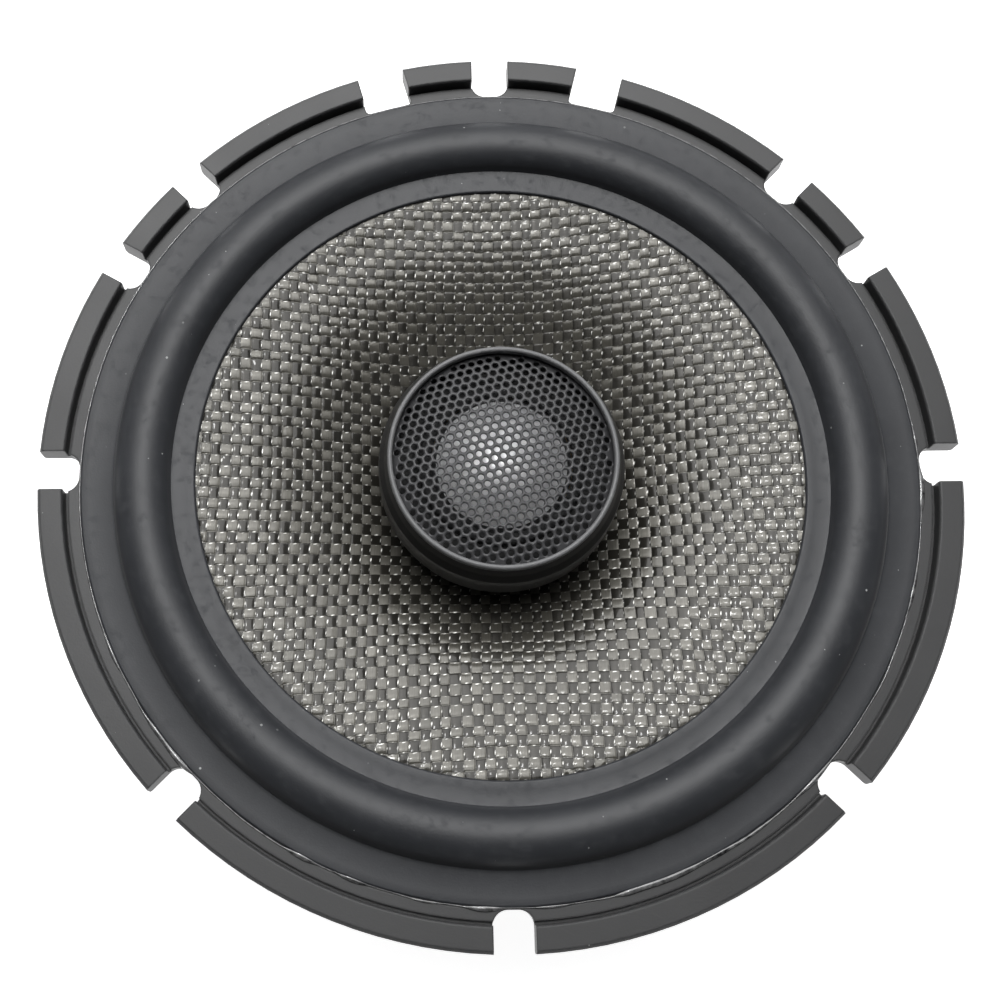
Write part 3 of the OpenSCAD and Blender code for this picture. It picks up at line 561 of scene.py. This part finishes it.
def make_finishes():
    make_moulded_grain()
    make_edge_wear()
    make_dust()
    make_scuffs()
    make_plain_weave()
    return {
        "basket": moulded_finish(
            "moulded_frame", (0.032, 0.0322, 0.0328), (0.043, 0.0432, 0.0438), 0.42, grain=0.35,
            grain_depth=0.010, edge=(0.12, 0.12, 0.122), edge_radius=0.45, dust=0.5, scuffs=0.10),
        "rubber": surround_rubber(),
        "column_tow": tow_finish("column_tows", False),
        "row_tow": tow_finish("row_tows", True),
        "cone": cloth_finish("cone_back_cloth", (0.16, 0.15, 0.12), (0.30, 0.28, 0.23), 1.9, 0.12,
                             0.42, (0.03, 0.028, 0.024), metallic=0.6),
        "former": moulded_finish("former_film", (0.42, 0.25, 0.07), (0.52, 0.33, 0.11), 0.32,
                                 grain=0.8, grain_depth=0.004, edge_radius=0.05),
        "copper": wound_wire_finish(),
        "spider": cloth_finish("spider_cloth", (0.42, 0.27, 0.10), (0.60, 0.42, 0.18), 0.42, 0.06,
                               0.66, (0.16, 0.09, 0.03)),
        "tinsel": metal_finish("tinsel_braid", (0.72, 0.46, 0.27), 0.38, stain=0.4),
        "steel": metal_finish("plated_steel", (0.58, 0.60, 0.62), 0.30, tint=(0.48, 0.47, 0.40),
                              stain=0.45, edge_radius=0.3),
        "ferrite": moulded_finish("fired_ferrite", (0.035, 0.036, 0.038), (0.065, 0.066, 0.070),
                                  0.48, grain=0.5, grain_depth=0.02, edge=(0.14, 0.14, 0.145),
                                  edge_radius=0.5),
        "boot": moulded_finish("boot_rubber", (0.014, 0.014, 0.015), (0.028, 0.028, 0.030), 0.58,
                               grain=0.3, grain_depth=0.018, edge_radius=0.6, dust=0.35,
                               scuffs=0.05),
        "screw": metal_finish("zinc_screw", (0.66, 0.67, 0.68), 0.26, stain=0.3),
        "board": cloth_finish("board_fibre", (0.11, 0.065, 0.030), (0.19, 0.115, 0.055), 0.5,
                              0.02, 0.5, (0.07, 0.04, 0.018)),
        "brass": metal_finish("tinned_brass", (0.78, 0.64, 0.34), 0.27, tint=(0.42, 0.30, 0.12),
                              stain=0.4, brushed=0.5),
        "sleeve": glossy_finish("capacitor_sleeve", (0.012, 0.016, 0.030), (0.02, 0.026, 0.045),
                                0.22, coat_weight=0.4, coat_roughness=0.08),
        "tin": metal_finish("tinned_wire", (0.74, 0.75, 0.77), 0.24, stain=0.25),
        "red": glossy_finish("red_insulation", (0.32, 0.012, 0.010), (0.42, 0.02, 0.015), 0.34),
        "black": glossy_finish("black_insulation", (0.012, 0.012, 0.013),
                               (0.02, 0.02, 0.022), 0.36),
        "pod": moulded_finish("pod_plastic", (0.005, 0.005, 0.0055), (0.010, 0.010, 0.0105), 0.38,
                              grain=0.25, grain_depth=0.008, edge=(0.05, 0.05, 0.052),
                              edge_radius=0.4, dust=0.25),
        "faceplate": moulded_finish(
            "faceplate_plastic", (0.0022, 0.0022, 0.0024), (0.004, 0.004, 0.0043), 0.62,
            grain=0.25, grain_depth=0.008, edge=(0.02, 0.02, 0.021), edge_radius=0.3, dust=0.1),
        "bezel": moulded_finish("bezel_paint", (0.150, 0.151, 0.153), (0.19, 0.191, 0.194), 0.36,
                                grain=0.25, grain_depth=0.004, edge=(0.5, 0.5, 0.5),
                                edge_radius=0.2),
        "grille": moulded_finish("grille_paint", (0.040, 0.040, 0.042), (0.060, 0.060, 0.063),
                                 0.40, grain=0.2, grain_depth=0.005, edge=(0.13, 0.13, 0.133),
                                 edge_radius=0.08, dust=0.2),
        "dome": dome_finish(),
        "dome_cloth": cloth_finish("dome_surround_cloth", (0.02, 0.02, 0.021),
                                   (0.035, 0.035, 0.037), 0.3, 0.03, 0.6, (0.01, 0.01, 0.01)),
        "felt": moulded_finish("felt", (0.10, 0.10, 0.10), (0.17, 0.17, 0.165), 0.9, grain=0.18,
                               grain_depth=0.08, edge_radius=0.3),
        "glue": glossy_finish("squeezed_glue", (0.006, 0.006, 0.007), (0.20, 0.20, 0.20), 0.12,
                              patch=1.5, coat_weight=0.8, coat_roughness=0.05),
    }


SHOWN_FINISH = {
    "basket": "basket", "cone": "cone", "coil_former": "former", "coil_winding": "copper",
    "front_plate": "steel", "ring_magnet": "ferrite", "yoke": "steel", "magnet_boot": "boot",
    "basket_screws": "screw", "terminal_board": "board", "positive_blade": "brass",
    "negative_blade": "brass", "blade_rivets": "brass", "board_rivet": "screw",
    "capacitor": "sleeve", "capacitor_lead": "tin", "tweeter_wire_positive": "red",
    "tweeter_wire_negative": "black", "tweeter_stud": "brass", "stud_washer": "screw",
    "stud_nut": "screw", "pod_spacer": "pod", "tweeter_pod": "pod", "pod_bezel": "bezel",
    "tweeter_faceplate": "faceplate", "tweeter_former": "former", "tweeter_winding": "copper",
    "tweeter_front_plate": "steel", "tweeter_magnet": "ferrite", "tweeter_cup": "steel",
    "tweeter_felt": "felt",
}


# ---------------------------------------------------------------- mesh helpers

def new_piece(name, points, faces, finish, body=None, stands_for=(), sharp=35):
    """A mesh piece from points in millimetres."""
    mesh = bpy.data.meshes.new(name)
    mesh.from_pydata([tuple(float(c) * MM for c in p) for p in points], [],
                     [tuple(int(i) for i in f) for f in faces])
    mesh.validate()
    mesh.polygons.foreach_set("use_smooth", [True] * len(mesh.polygons))
    if sharp:
        mesh.set_sharp_from_angle(angle=math.radians(sharp))
    piece = bpy.data.objects.new(name, mesh)
    bpy.context.collection.objects.link(piece)
    for one in finish if isinstance(finish, list) else [finish]:
        mesh.materials.append(one)
    if body:
        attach(piece, body)
    if stands_for:
        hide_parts(*stands_for)
    return piece


def turn_profile(profile, steps=240):
    """Points and faces of a closed profile of (radius, height) turned about Z."""
    count = len(profile)
    points, faces = [], []
    for k in range(steps):
        a = 2 * math.pi * k / steps
        points += [(r * math.cos(a), r * math.sin(a), z) for r, z in profile]
    for k in range(steps):
        here, there = k * count, (k + 1) % steps * count
        for i in range(count):
            j = (i + 1) % count
            faces.append((here + i, here + j, there + j, there + i))
    return points, faces


def arc(cx, cz, rx, rz, start, end, steps):
    """Points on an ellipse's arc, angles in degrees."""
    return [(cx + rx * math.cos(math.radians(start + (end - start) * i / steps)),
             cz + rz * math.sin(math.radians(start + (end - start) * i / steps)))
            for i in range(steps + 1)]


def smooth_route(route, steps):
    """Smooth curve through the points of a route."""
    route = [np.array(p, float) for p in route]
    last = len(route) - 1
    points = []
    for i in range(last):
        before, a, b, after = route[max(i - 1, 0)], route[i], route[i + 1], route[min(i + 2, last)]
        for k in range(steps):
            t = k / steps
            points.append(0.5 * (2 * a + (b - before) * t + (2 * before - 5 * a + 4 * b - after)
                          * t * t + (3 * a - before - 3 * b + after) * t ** 3))
    return points + [route[last]]


def sweep(path, radius, sides=8):
    """Closed tube along a path. The radius may be a number or one number for each point."""
    count = len(path)
    radii = [radius] * count if isinstance(radius, (int, float)) else radius
    points, faces = [], []
    side = np.array((1.0, 0.0, 0.0))
    for i in range(count):
        ahead = path[min(i + 1, count - 1)] - path[max(i - 1, 0)]
        ahead /= np.linalg.norm(ahead)
        if abs(side @ ahead) > 0.95:
            side = np.array((0.0, 1.0, 0.0))
        side = side - (side @ ahead) * ahead
        side /= np.linalg.norm(side)
        other = np.cross(ahead, side)
        for k in range(sides):
            a = 2 * math.pi * k / sides
            points.append(path[i] + radii[i] * (side * math.cos(a) + other * math.sin(a)))
    for i in range(count - 1):
        for k in range(sides):
            n = (k + 1) % sides
            faces.append((i * sides + k, i * sides + n, (i + 1) * sides + n, (i + 1) * sides + k))
    faces.append(tuple(range(sides - 1, -1, -1)))
    faces.append(tuple((count - 1) * sides + k for k in range(sides)))
    return points, faces


def radii_of(piece):
    """Distance of each vertex from the Z axis, in millimetres."""
    places = np.empty(len(piece.data.vertices) * 3)
    piece.data.vertices.foreach_get("co", places)
    places = places.reshape(-1, 3) / MM
    return np.hypot(places[:, 0], places[:, 1])


def bend_between(piece, outer_r, inner_r):
    """Bakes a ring's transform into its mesh and works out how far each vertex lies from the outer
    edge towards the inner; nothing uses that share.
    """
    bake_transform(piece)
    share = ease((outer_r - radii_of(piece)) / (outer_r - inner_r))


# ---------------------------------------------------------------- pieces of the woofer

def turn_surround(finish):
    """Rubber surround: outer lip, half roll and inner lip, with rounded lip edges."""
    wall = 0.8
    middle = (ROLL_OUTER_R + ROLL_INNER_R) / 2
    half = (ROLL_OUTER_R - ROLL_INNER_R) / 2
    under = LIP_Z - LIP_T
    fillet = 0.7
    profile = (
        arc(CONE_EDGE_R + 0.45, LIP_Z - 0.45, 0.45, 0.45, 180, 90, 5)
        + [(CONE_EDGE_R + 1.6, LIP_Z), (ROLL_INNER_R - fillet, LIP_Z),
           (ROLL_INNER_R - 0.2, LIP_Z + 0.12)]
        + arc(middle, LIP_Z, half, ROLL_H, 168, 12, 30)
        + [(ROLL_OUTER_R + 0.2, LIP_Z + 0.12), (ROLL_OUTER_R + fillet, LIP_Z),
           (LIP_R - 1.6, LIP_Z)]
        + arc(LIP_R - 0.4, LIP_Z - 0.4, 0.4, 0.4, 90, 0, 5)
        + [(LIP_R, under), (ROLL_OUTER_R - wall, under)]
        + arc(middle, LIP_Z, half - wall, ROLL_H - wall, 0, 180, 24)
        + [(ROLL_INNER_R + wall, under), (CONE_EDGE_R, under)])
    points, faces = turn_profile(profile)
    piece = new_piece("rubber_surround", points, [f[::-1] for f in faces], finish, None,
                      ["surround"], sharp=50)
    bend_between(piece, ROLL_OUTER_R - 0.3, ROLL_INNER_R + 0.3)


def weave_cone(column_finish, row_finish):
    """Glass cloth on the front of the cone: every tow goes over one and under the next."""
    columns, rows = 62, 58
    column_pitch, row_pitch = 1.86, 1.99
    steps = np.array([0, 0.06, 0.17, 0.5, 0.83, 0.94])
    thickness, rise = 0.075, 0.07
    outer_r, inner_r = CONE_EDGE_R - 0.03, CONE_NECK_R + 0.3
    dice = np.random.default_rng(7)

    def tow_lines(count, pitch):
        edges = (np.arange(count + 1) - count / 2) * pitch
        edges = edges + dice.normal(0, 0.05 * pitch, count + 1)
        lines = (edges[:-1, None] + np.diff(edges)[:, None] * steps).ravel()
        cell = np.repeat(np.arange(count), len(steps))
        local = np.tile(steps, count)
        return np.append(lines, edges[-1]), np.append(cell, count), np.append(local, 0.0)

    x, column, across = tow_lines(columns, column_pitch)
    y, row, along = tow_lines(rows, row_pitch)
    X, Y = np.meshgrid(x, y, indexing="ij")
    U, V = np.meshgrid(across - 0.5, along - 0.5, indexing="ij")
    I, J = np.meshgrid(column, row, indexing="ij")
    on_top = np.where((I + J) % 2 == 0, 1.0, -1.0)

    def bend_of(t):
        return 1 - 1.6 * np.clip(abs(2 * t), 0, 1) ** 3.2

    def section(t):
        return np.where(abs(t) < 0.48, thickness * np.sqrt(np.clip(1 - abs(t / 0.48) ** 6, 0, 1)),
                        -1.0)

    column_top = on_top * rise * bend_of(V) + section(U)
    row_top = -on_top * rise * bend_of(U) + section(V)
    floor = -0.6 * thickness
    relief = np.maximum(np.maximum(column_top, row_top), floor)
    tilt = dice.normal(0, 1, (2, columns + 1, rows + 1)) * 0.035
    inside = np.sqrt(np.clip((1 - (2 * U) ** 2) * (1 - (2 * V) ** 2), 0, 1))
    relief = relief + inside * (tilt[0][I, J] * U * column_pitch + tilt[1][I, J] * V * row_pitch)

    # The middle of each tow is drawn towards the neck as the cloth drapes
    plan_x = X * (0.97 + 0.03 * (Y / CONE_EDGE_R) ** 2)
    plan_y = Y * (0.95 + 0.09 * (X / CONE_EDGE_R) ** 2) + 0.01 * X
    plan_x = plan_x + 0.25 * np.sin(Y / 17 + 1.0) + 0.10 * np.sin(Y / 5.3 + X / 9)
    plan_y = plan_y + 0.20 * np.sin(X / 19 + 0.4) + 0.10 * np.sin(X / 6.1 + Y / 11)
    radius = np.hypot(plan_x, plan_y)
    snapped = np.clip(radius, inner_r, outer_r)
    share = snapped / np.maximum(radius, 1e-6)
    plan_x, plan_y = plan_x * share, plan_y * share
    lifted = 0.45 * ease((snapped - 49.0) / 5.4)
    height = cone_height(snapped) + 0.045 + lifted + relief - floor

    points = np.stack([plan_x, plan_y, height], -1).reshape(-1, 3)
    wide, deep = X.shape
    index = np.arange(wide * deep).reshape(wide, deep)
    quads = np.stack([index[:-1, :-1], index[1:, :-1], index[1:, 1:], index[:-1, 1:]], -1)
    corner_r = np.stack([radius[:-1, :-1], radius[1:, :-1], radius[1:, 1:], radius[:-1, 1:]], -1)
    kept = (corner_r.min(-1) < outer_r) & (corner_r.max(-1) > inner_r)
    quads = quads[kept]
    cell_i, cell_j = I[:-1, :-1][kept], J[:-1, :-1][kept]
    used, flat = np.unique(quads, return_inverse=True)
    quads = flat.reshape(-1, 4)

    piece = new_piece("woven_cone_cloth", points[used], quads, [column_finish, row_finish],
                      "cone_assembly", sharp=0)
    mesh = piece.data
    mesh.polygons.foreach_set("material_index", ((cell_i + cell_j) % 2).astype(np.int32))
    tow_tones = (dice.uniform(0.35, 0.65, columns + 1), dice.uniform(0.35, 0.65, rows + 1))
    tone = np.where((cell_i + cell_j) % 2 == 0, tow_tones[0][cell_i], tow_tones[1][cell_j])
    tone = np.clip(tone + dice.normal(0, 0.10, (columns + 1, rows + 1))[cell_i, cell_j], 0, 1)
    mesh.attributes.new("tow_tone", "FLOAT", "FACE").data.foreach_set(
        "value", tone.astype(np.float32))
    # tow_depth is the height of the relief; the tow finishes paint its low places dark as painted
    # shade
    depth = ((relief - floor) / (2.6 * thickness)).reshape(-1)[used]
    mesh.attributes.new("tow_depth", "FLOAT", "POINT").data.foreach_set(
        "value", depth.astype(np.float32))
    # Painted highlight: pale dots at some of the ends where a tow dives under the next, standing
    # in for glints of light
    luck = dice.uniform((0.0, 0.45), (0.95, 1.15), (columns + 1, rows + 1, 2))
    along_float = np.where(on_top > 0, V, U)
    across_float = np.where(on_top > 0, U, V)
    painted_glint_dots = ((abs(along_float) > 0.40) * (abs(across_float) < 0.2)
            * luck[I, J, (along_float > 0).astype(int)])
    mesh.attributes.new("painted_glint", "FLOAT", "POINT").data.foreach_set(
        "value", painted_glint_dots.reshape(-1)[used].astype(np.float32))
    threads = np.stack([I + U + 0.5, J + V + 0.5], -1).reshape(-1, 2)[used]
    corners = np.empty(len(mesh.loops), np.int32)
    mesh.loops.foreach_get("vertex_index", corners)
    mesh.uv_layers.new(name="tows").data.foreach_set(
        "uv", threads[corners].astype(np.float32).ravel())


def squeeze_glue(finish):
    """Glue that oozed out between the outer lip and the flange, thicker on the near side."""
    steps = 900
    dice = np.random.default_rng(11)
    a = np.linspace(0, 2 * math.pi, steps, endpoint=False)
    lumps = np.zeros(steps)
    for turn in range(3, 60):
        lumps += dice.normal(0, 1) * np.sin(turn * a + dice.uniform(0, 6.3)) / turn ** 0.55
    lumps = lumps / lumps.std()
    near = ease((np.cos(a - math.radians(262)) - 0.35) / 0.5)
    right = 0.8 * ease((np.cos(a - math.radians(345)) - 0.80) / 0.15)
    ooze = np.clip(0.10 + 0.22 * np.maximum(near, right) * np.clip(lumps + 0.3, 0, 2), 0.10, 0.42)
    wander = 0.10 * np.clip(np.roll(lumps, 40), -1, 1.6) * np.maximum(near, right)
    sides = 8
    points, faces = [], []
    for i in range(steps):
        r = LIP_R + 0.12 + wander[i]
        z = FLANGE_TOP_Z + 0.10
        for k in range(sides):
            t = 2 * math.pi * k / sides
            rr = r + ooze[i] * 1.5 * math.cos(t)
            points.append((rr * math.cos(a[i]), rr * math.sin(a[i]), z + ooze[i] * math.sin(t)))
    for i in range(steps):
        j = (i + 1) % steps
        for k in range(sides):
            n = (k + 1) % sides
            faces.append((i * sides + k, j * sides + k, j * sides + n, i * sides + n))
    new_piece("surround_glue", points, faces, finish, "frame", sharp=0)


def press_spider(finish):
    """Corrugated cloth spider between its ledge and the coil former."""
    collar_r, clamp_r = 14.25, SPIDER_R - 5.3
    waves, wave, half = 6, SPIDER_WAVE, SPIDER_HALF_T
    steps = waves * 16
    line = []
    for i in range(steps + 1):
        t = i / steps
        line.append((collar_r + (clamp_r - collar_r) * t,
                     SPIDER_Z + wave * math.sin(2 * math.pi * waves * t)))
    profile = ([(CONE_NECK_R, SPIDER_Z + 0.9), (collar_r - 0.4, SPIDER_Z + 0.9)]
               + [(r, z + half) for r, z in line]
               + [(SPIDER_R - 0.1, SPIDER_Z + half), (SPIDER_R, SPIDER_Z + half - 0.1),
                  (SPIDER_R, SPIDER_Z - half), (clamp_r + 0.3, SPIDER_Z - half)]
               + [(r, z - half) for r, z in reversed(line)]
               + [(collar_r - 0.4, SPIDER_Z - 0.9), (CONE_NECK_R, SPIDER_Z - 0.9)])
    points, faces = turn_profile(profile, 180)
    piece = new_piece("spider_cloth", points, [f[::-1] for f in faces], finish, None,
                      ["spider"], sharp=50)
    bend_between(piece, clamp_r, collar_r)


def braid_tinsel(finish):
    """Two flexible braids from the blades to the cone."""
    blade_top_z, blade_inner_y, lead_x, lead_r = 41.1, -46.9, 6.0, 0.6
    end_y = -17.6
    end_z = float(cone_height(math.hypot(lead_x, end_y))) - 0.6 - lead_r - 0.35
    over_y, over_z = -43.1, 45.5
    for side, word in ((1, "positive"), (-1, "negative")):
        x = side * lead_x
        middle = smooth_route([
            (x, blade_inner_y - 1, blade_top_z + lead_r),
            (x, blade_inner_y + 0.6, blade_top_z + lead_r + 0.5),
            (x, over_y, over_z), (x, over_y + 8, over_z + 0.8),
            (x, (over_y + end_y) / 2, (over_z + end_z) / 2 + 0.2),
            (x, end_y - 4, end_z - 0.8), (x, end_y, end_z)], 24)
        points, faces = [], []
        strands, strand_r, orbit, lay = 5, 0.21, 0.36, 3.2
        for s in range(strands):
            turned, travelled = [], 0.0
            for i, place in enumerate(middle):
                ahead = middle[min(i + 1, len(middle) - 1)] - middle[max(i - 1, 0)]
                ahead /= np.linalg.norm(ahead)
                if i:
                    travelled += float(np.linalg.norm(place - middle[i - 1]))
                u = np.array((1.0, 0.0, 0.0))
                v = np.cross(ahead, u)
                a = 2 * math.pi * (travelled / lay + s / strands)
                turned.append(place + orbit * (u * math.cos(a) + v * math.sin(a)))
            p, f = sweep(turned, strand_r, 6)
            faces += [tuple(i + len(points) for i in face) for face in f]
            points += p
        name = "tinsel_lead_" + word
        piece = new_piece("braided_" + name, points, faces, finish, None, [name])
        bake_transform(piece)


# ---------------------------------------------------------------- pieces of the tweeter

def punch_grille(finish):
    """Domed steel mesh with staggered round holes and a turned-down edge."""
    pitch, hole_r, lean = 1.62, 0.56, math.radians(14)
    edge_r = GRILLE_R - 0.05
    crown_z, edge_z = top("tweeter_grille") - 0.02, top("tweeter_grille") - 2.1

    def height(r):
        return edge_z + (crown_z - edge_z) * max(0.0, 1 - (r / edge_r) ** 3.4) ** 0.8

    build = bmesh.new()
    seen = {}

    def corner(x, y):
        r = math.hypot(x, y)
        if r > edge_r:
            x, y = x * edge_r / r, y * edge_r / r
        key = (round(x, 3), round(y, 3))
        if key not in seen:
            seen[key] = build.verts.new((x * MM, y * MM, height(math.hypot(x, y)) * MM))
        return seen[key]

    count = int(edge_r / pitch) + 2
    for b in range(-2 * count, 2 * count + 1):
        for a in range(-2 * count, 2 * count + 1):
            cx, cy = (a + b / 2) * pitch, b * pitch * math.sqrt(3) / 2
            cx, cy = (cx * math.cos(lean) - cy * math.sin(lean),
                      cx * math.sin(lean) + cy * math.cos(lean))
            away = math.hypot(cx, cy)
            if away > edge_r + pitch * 0.5:
                continue
            outline, hole = [], []
            for k in range(12):
                t = lean + math.radians(30 * k + 30)
                far = pitch / math.sqrt(3) if k % 2 == 0 else pitch / 2
                outline.append(corner(cx + far * math.cos(t), cy + far * math.sin(t)))
                hole.append((cx + hole_r * math.cos(t), cy + hole_r * math.sin(t)))
            if away < edge_r - hole_r - 0.12:
                hole = [corner(*p) for p in hole]
                for k in range(12):
                    n = (k + 1) % 12
                    ring = [outline[k], outline[n], hole[n], hole[k]]
                    if len(set(ring)) == 4:
                        build.faces.new(ring)
            else:
                kept = [v for i, v in enumerate(outline) if v not in outline[:i]]
                if len(kept) > 2:
                    try:
                        build.faces.new(kept)
                    except ValueError:
                        pass
    bmesh.ops.dissolve_degenerate(build, dist=1e-5, edges=build.edges)
    rim = [e for e in build.edges if len(e.link_faces) == 1
           and all(math.hypot(v.co.x, v.co.y) > (edge_r - 0.02) * MM for v in e.verts)]
    for drop in (0.3, edge_z - GRILLE_FOOT_Z - 0.2):
        made = bmesh.ops.extrude_edge_only(build, edges=rim)["geom"]
        for vert in [g for g in made if isinstance(g, bmesh.types.BMVert)]:
            vert.co.z = (edge_z - drop) * MM
        rim = [g for g in made if isinstance(g, bmesh.types.BMEdge)]
    bmesh.ops.recalc_face_normals(build, faces=build.faces)
    mesh = bpy.data.meshes.new("mesh_grille")
    build.to_mesh(mesh)
    build.free()
    mesh.polygons.foreach_set("use_smooth", [True] * len(mesh.polygons))
    mesh.set_sharp_from_angle(angle=math.radians(50))
    piece = bpy.data.objects.new("mesh_grille", mesh)
    bpy.context.collection.objects.link(piece)
    mesh.materials.append(finish)
    sheet = piece.modifiers.new("sheet_thickness", "SOLIDIFY")
    sheet.thickness, sheet.offset = 0.34 * MM, -1.0
    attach(piece, "frame")
    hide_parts("tweeter_grille")


def draw_dome(finish, cloth):
    """Aluminium dome with a black glued edge, and the cloth roll that carries it."""
    box_low, box_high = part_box("tweeter_dome")
    foot_z, crown = box_low.z / MM, (box_high.z - box_low.z) / MM
    rim_r = box_high.x / MM
    wall = 0.15
    ball = (rim_r ** 2 + crown ** 2) / (2 * crown)
    steps = 40
    outside = []
    for i in range(steps + 1):
        r = 0.02 + (rim_r - 0.02) * i / steps
        outside.append((r, foot_z + crown - ball + math.sqrt(ball ** 2 - r ** 2)))
    inside = [(r, z - wall) for r, z in reversed(outside)]
    inside[0] = (rim_r, foot_z)
    points, faces = turn_profile(outside + inside, 144)
    piece = new_piece("drawn_dome", points, [f[::-1] for f in faces], [finish, cloth],
                      "tweeter_diaphragm", ["tweeter_dome"], sharp=60)
    glued_r = 11.8
    for face in piece.data.polygons:
        if math.hypot(face.center.x, face.center.y) > glued_r * MM:
            face.material_index = 1
    low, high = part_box("tweeter_surround")
    outer = high.x / MM
    inner = DOME_R + 0.05
    base, crest = low.z / MM, high.z / MM
    middle, half = (outer + inner) / 2, (outer - inner) / 2
    film = 0.2
    profile = (arc(middle, base + film, half, crest - base - film, 180, 0, 20)
               + [(outer, base)] + arc(middle, base, half - film, crest - base - film, 0, 180, 20)
               + [(inner, base)])
    points, faces = turn_profile(profile, 144)
    roll = new_piece("dome_roll", points, [f[::-1] for f in faces], cloth, None,
                     ["tweeter_surround"], sharp=60)
    bend_between(roll, outer - 0.1, inner + 0.1)


# ---------------------------------------------------------------- assembly

def paint_shown_nodes(finishes):
    for node, finish in SHOWN_FINISH.items():
        mesh = nodes[node].data
        mesh.materials.clear()
        mesh.materials.append(finishes[finish])


def round_off_wires():
    """Rounds the eight-sided wires."""
    for node in ("tweeter_wire_positive", "tweeter_wire_negative", "capacitor_lead"):
        weld = nodes[node].modifiers.new("join_rings", "WELD")
        weld.merge_threshold = 1e-6
        nodes[node].modifiers.new("round_section", "SUBSURF").render_levels = 1


set_camera()
light_studio()
lay_floor()
finishes = make_finishes()
paint_shown_nodes(finishes)
round_off_wires()
turn_surround(finishes["rubber"])
weave_cone(finishes["column_tow"], finishes["row_tow"])
squeeze_glue(finishes["glue"])
press_spider(finishes["spider"])
braid_tinsel(finishes["tinsel"])
punch_grille(finishes["grille"])
draw_dome(finishes["dome"], finishes["dome_cloth"])
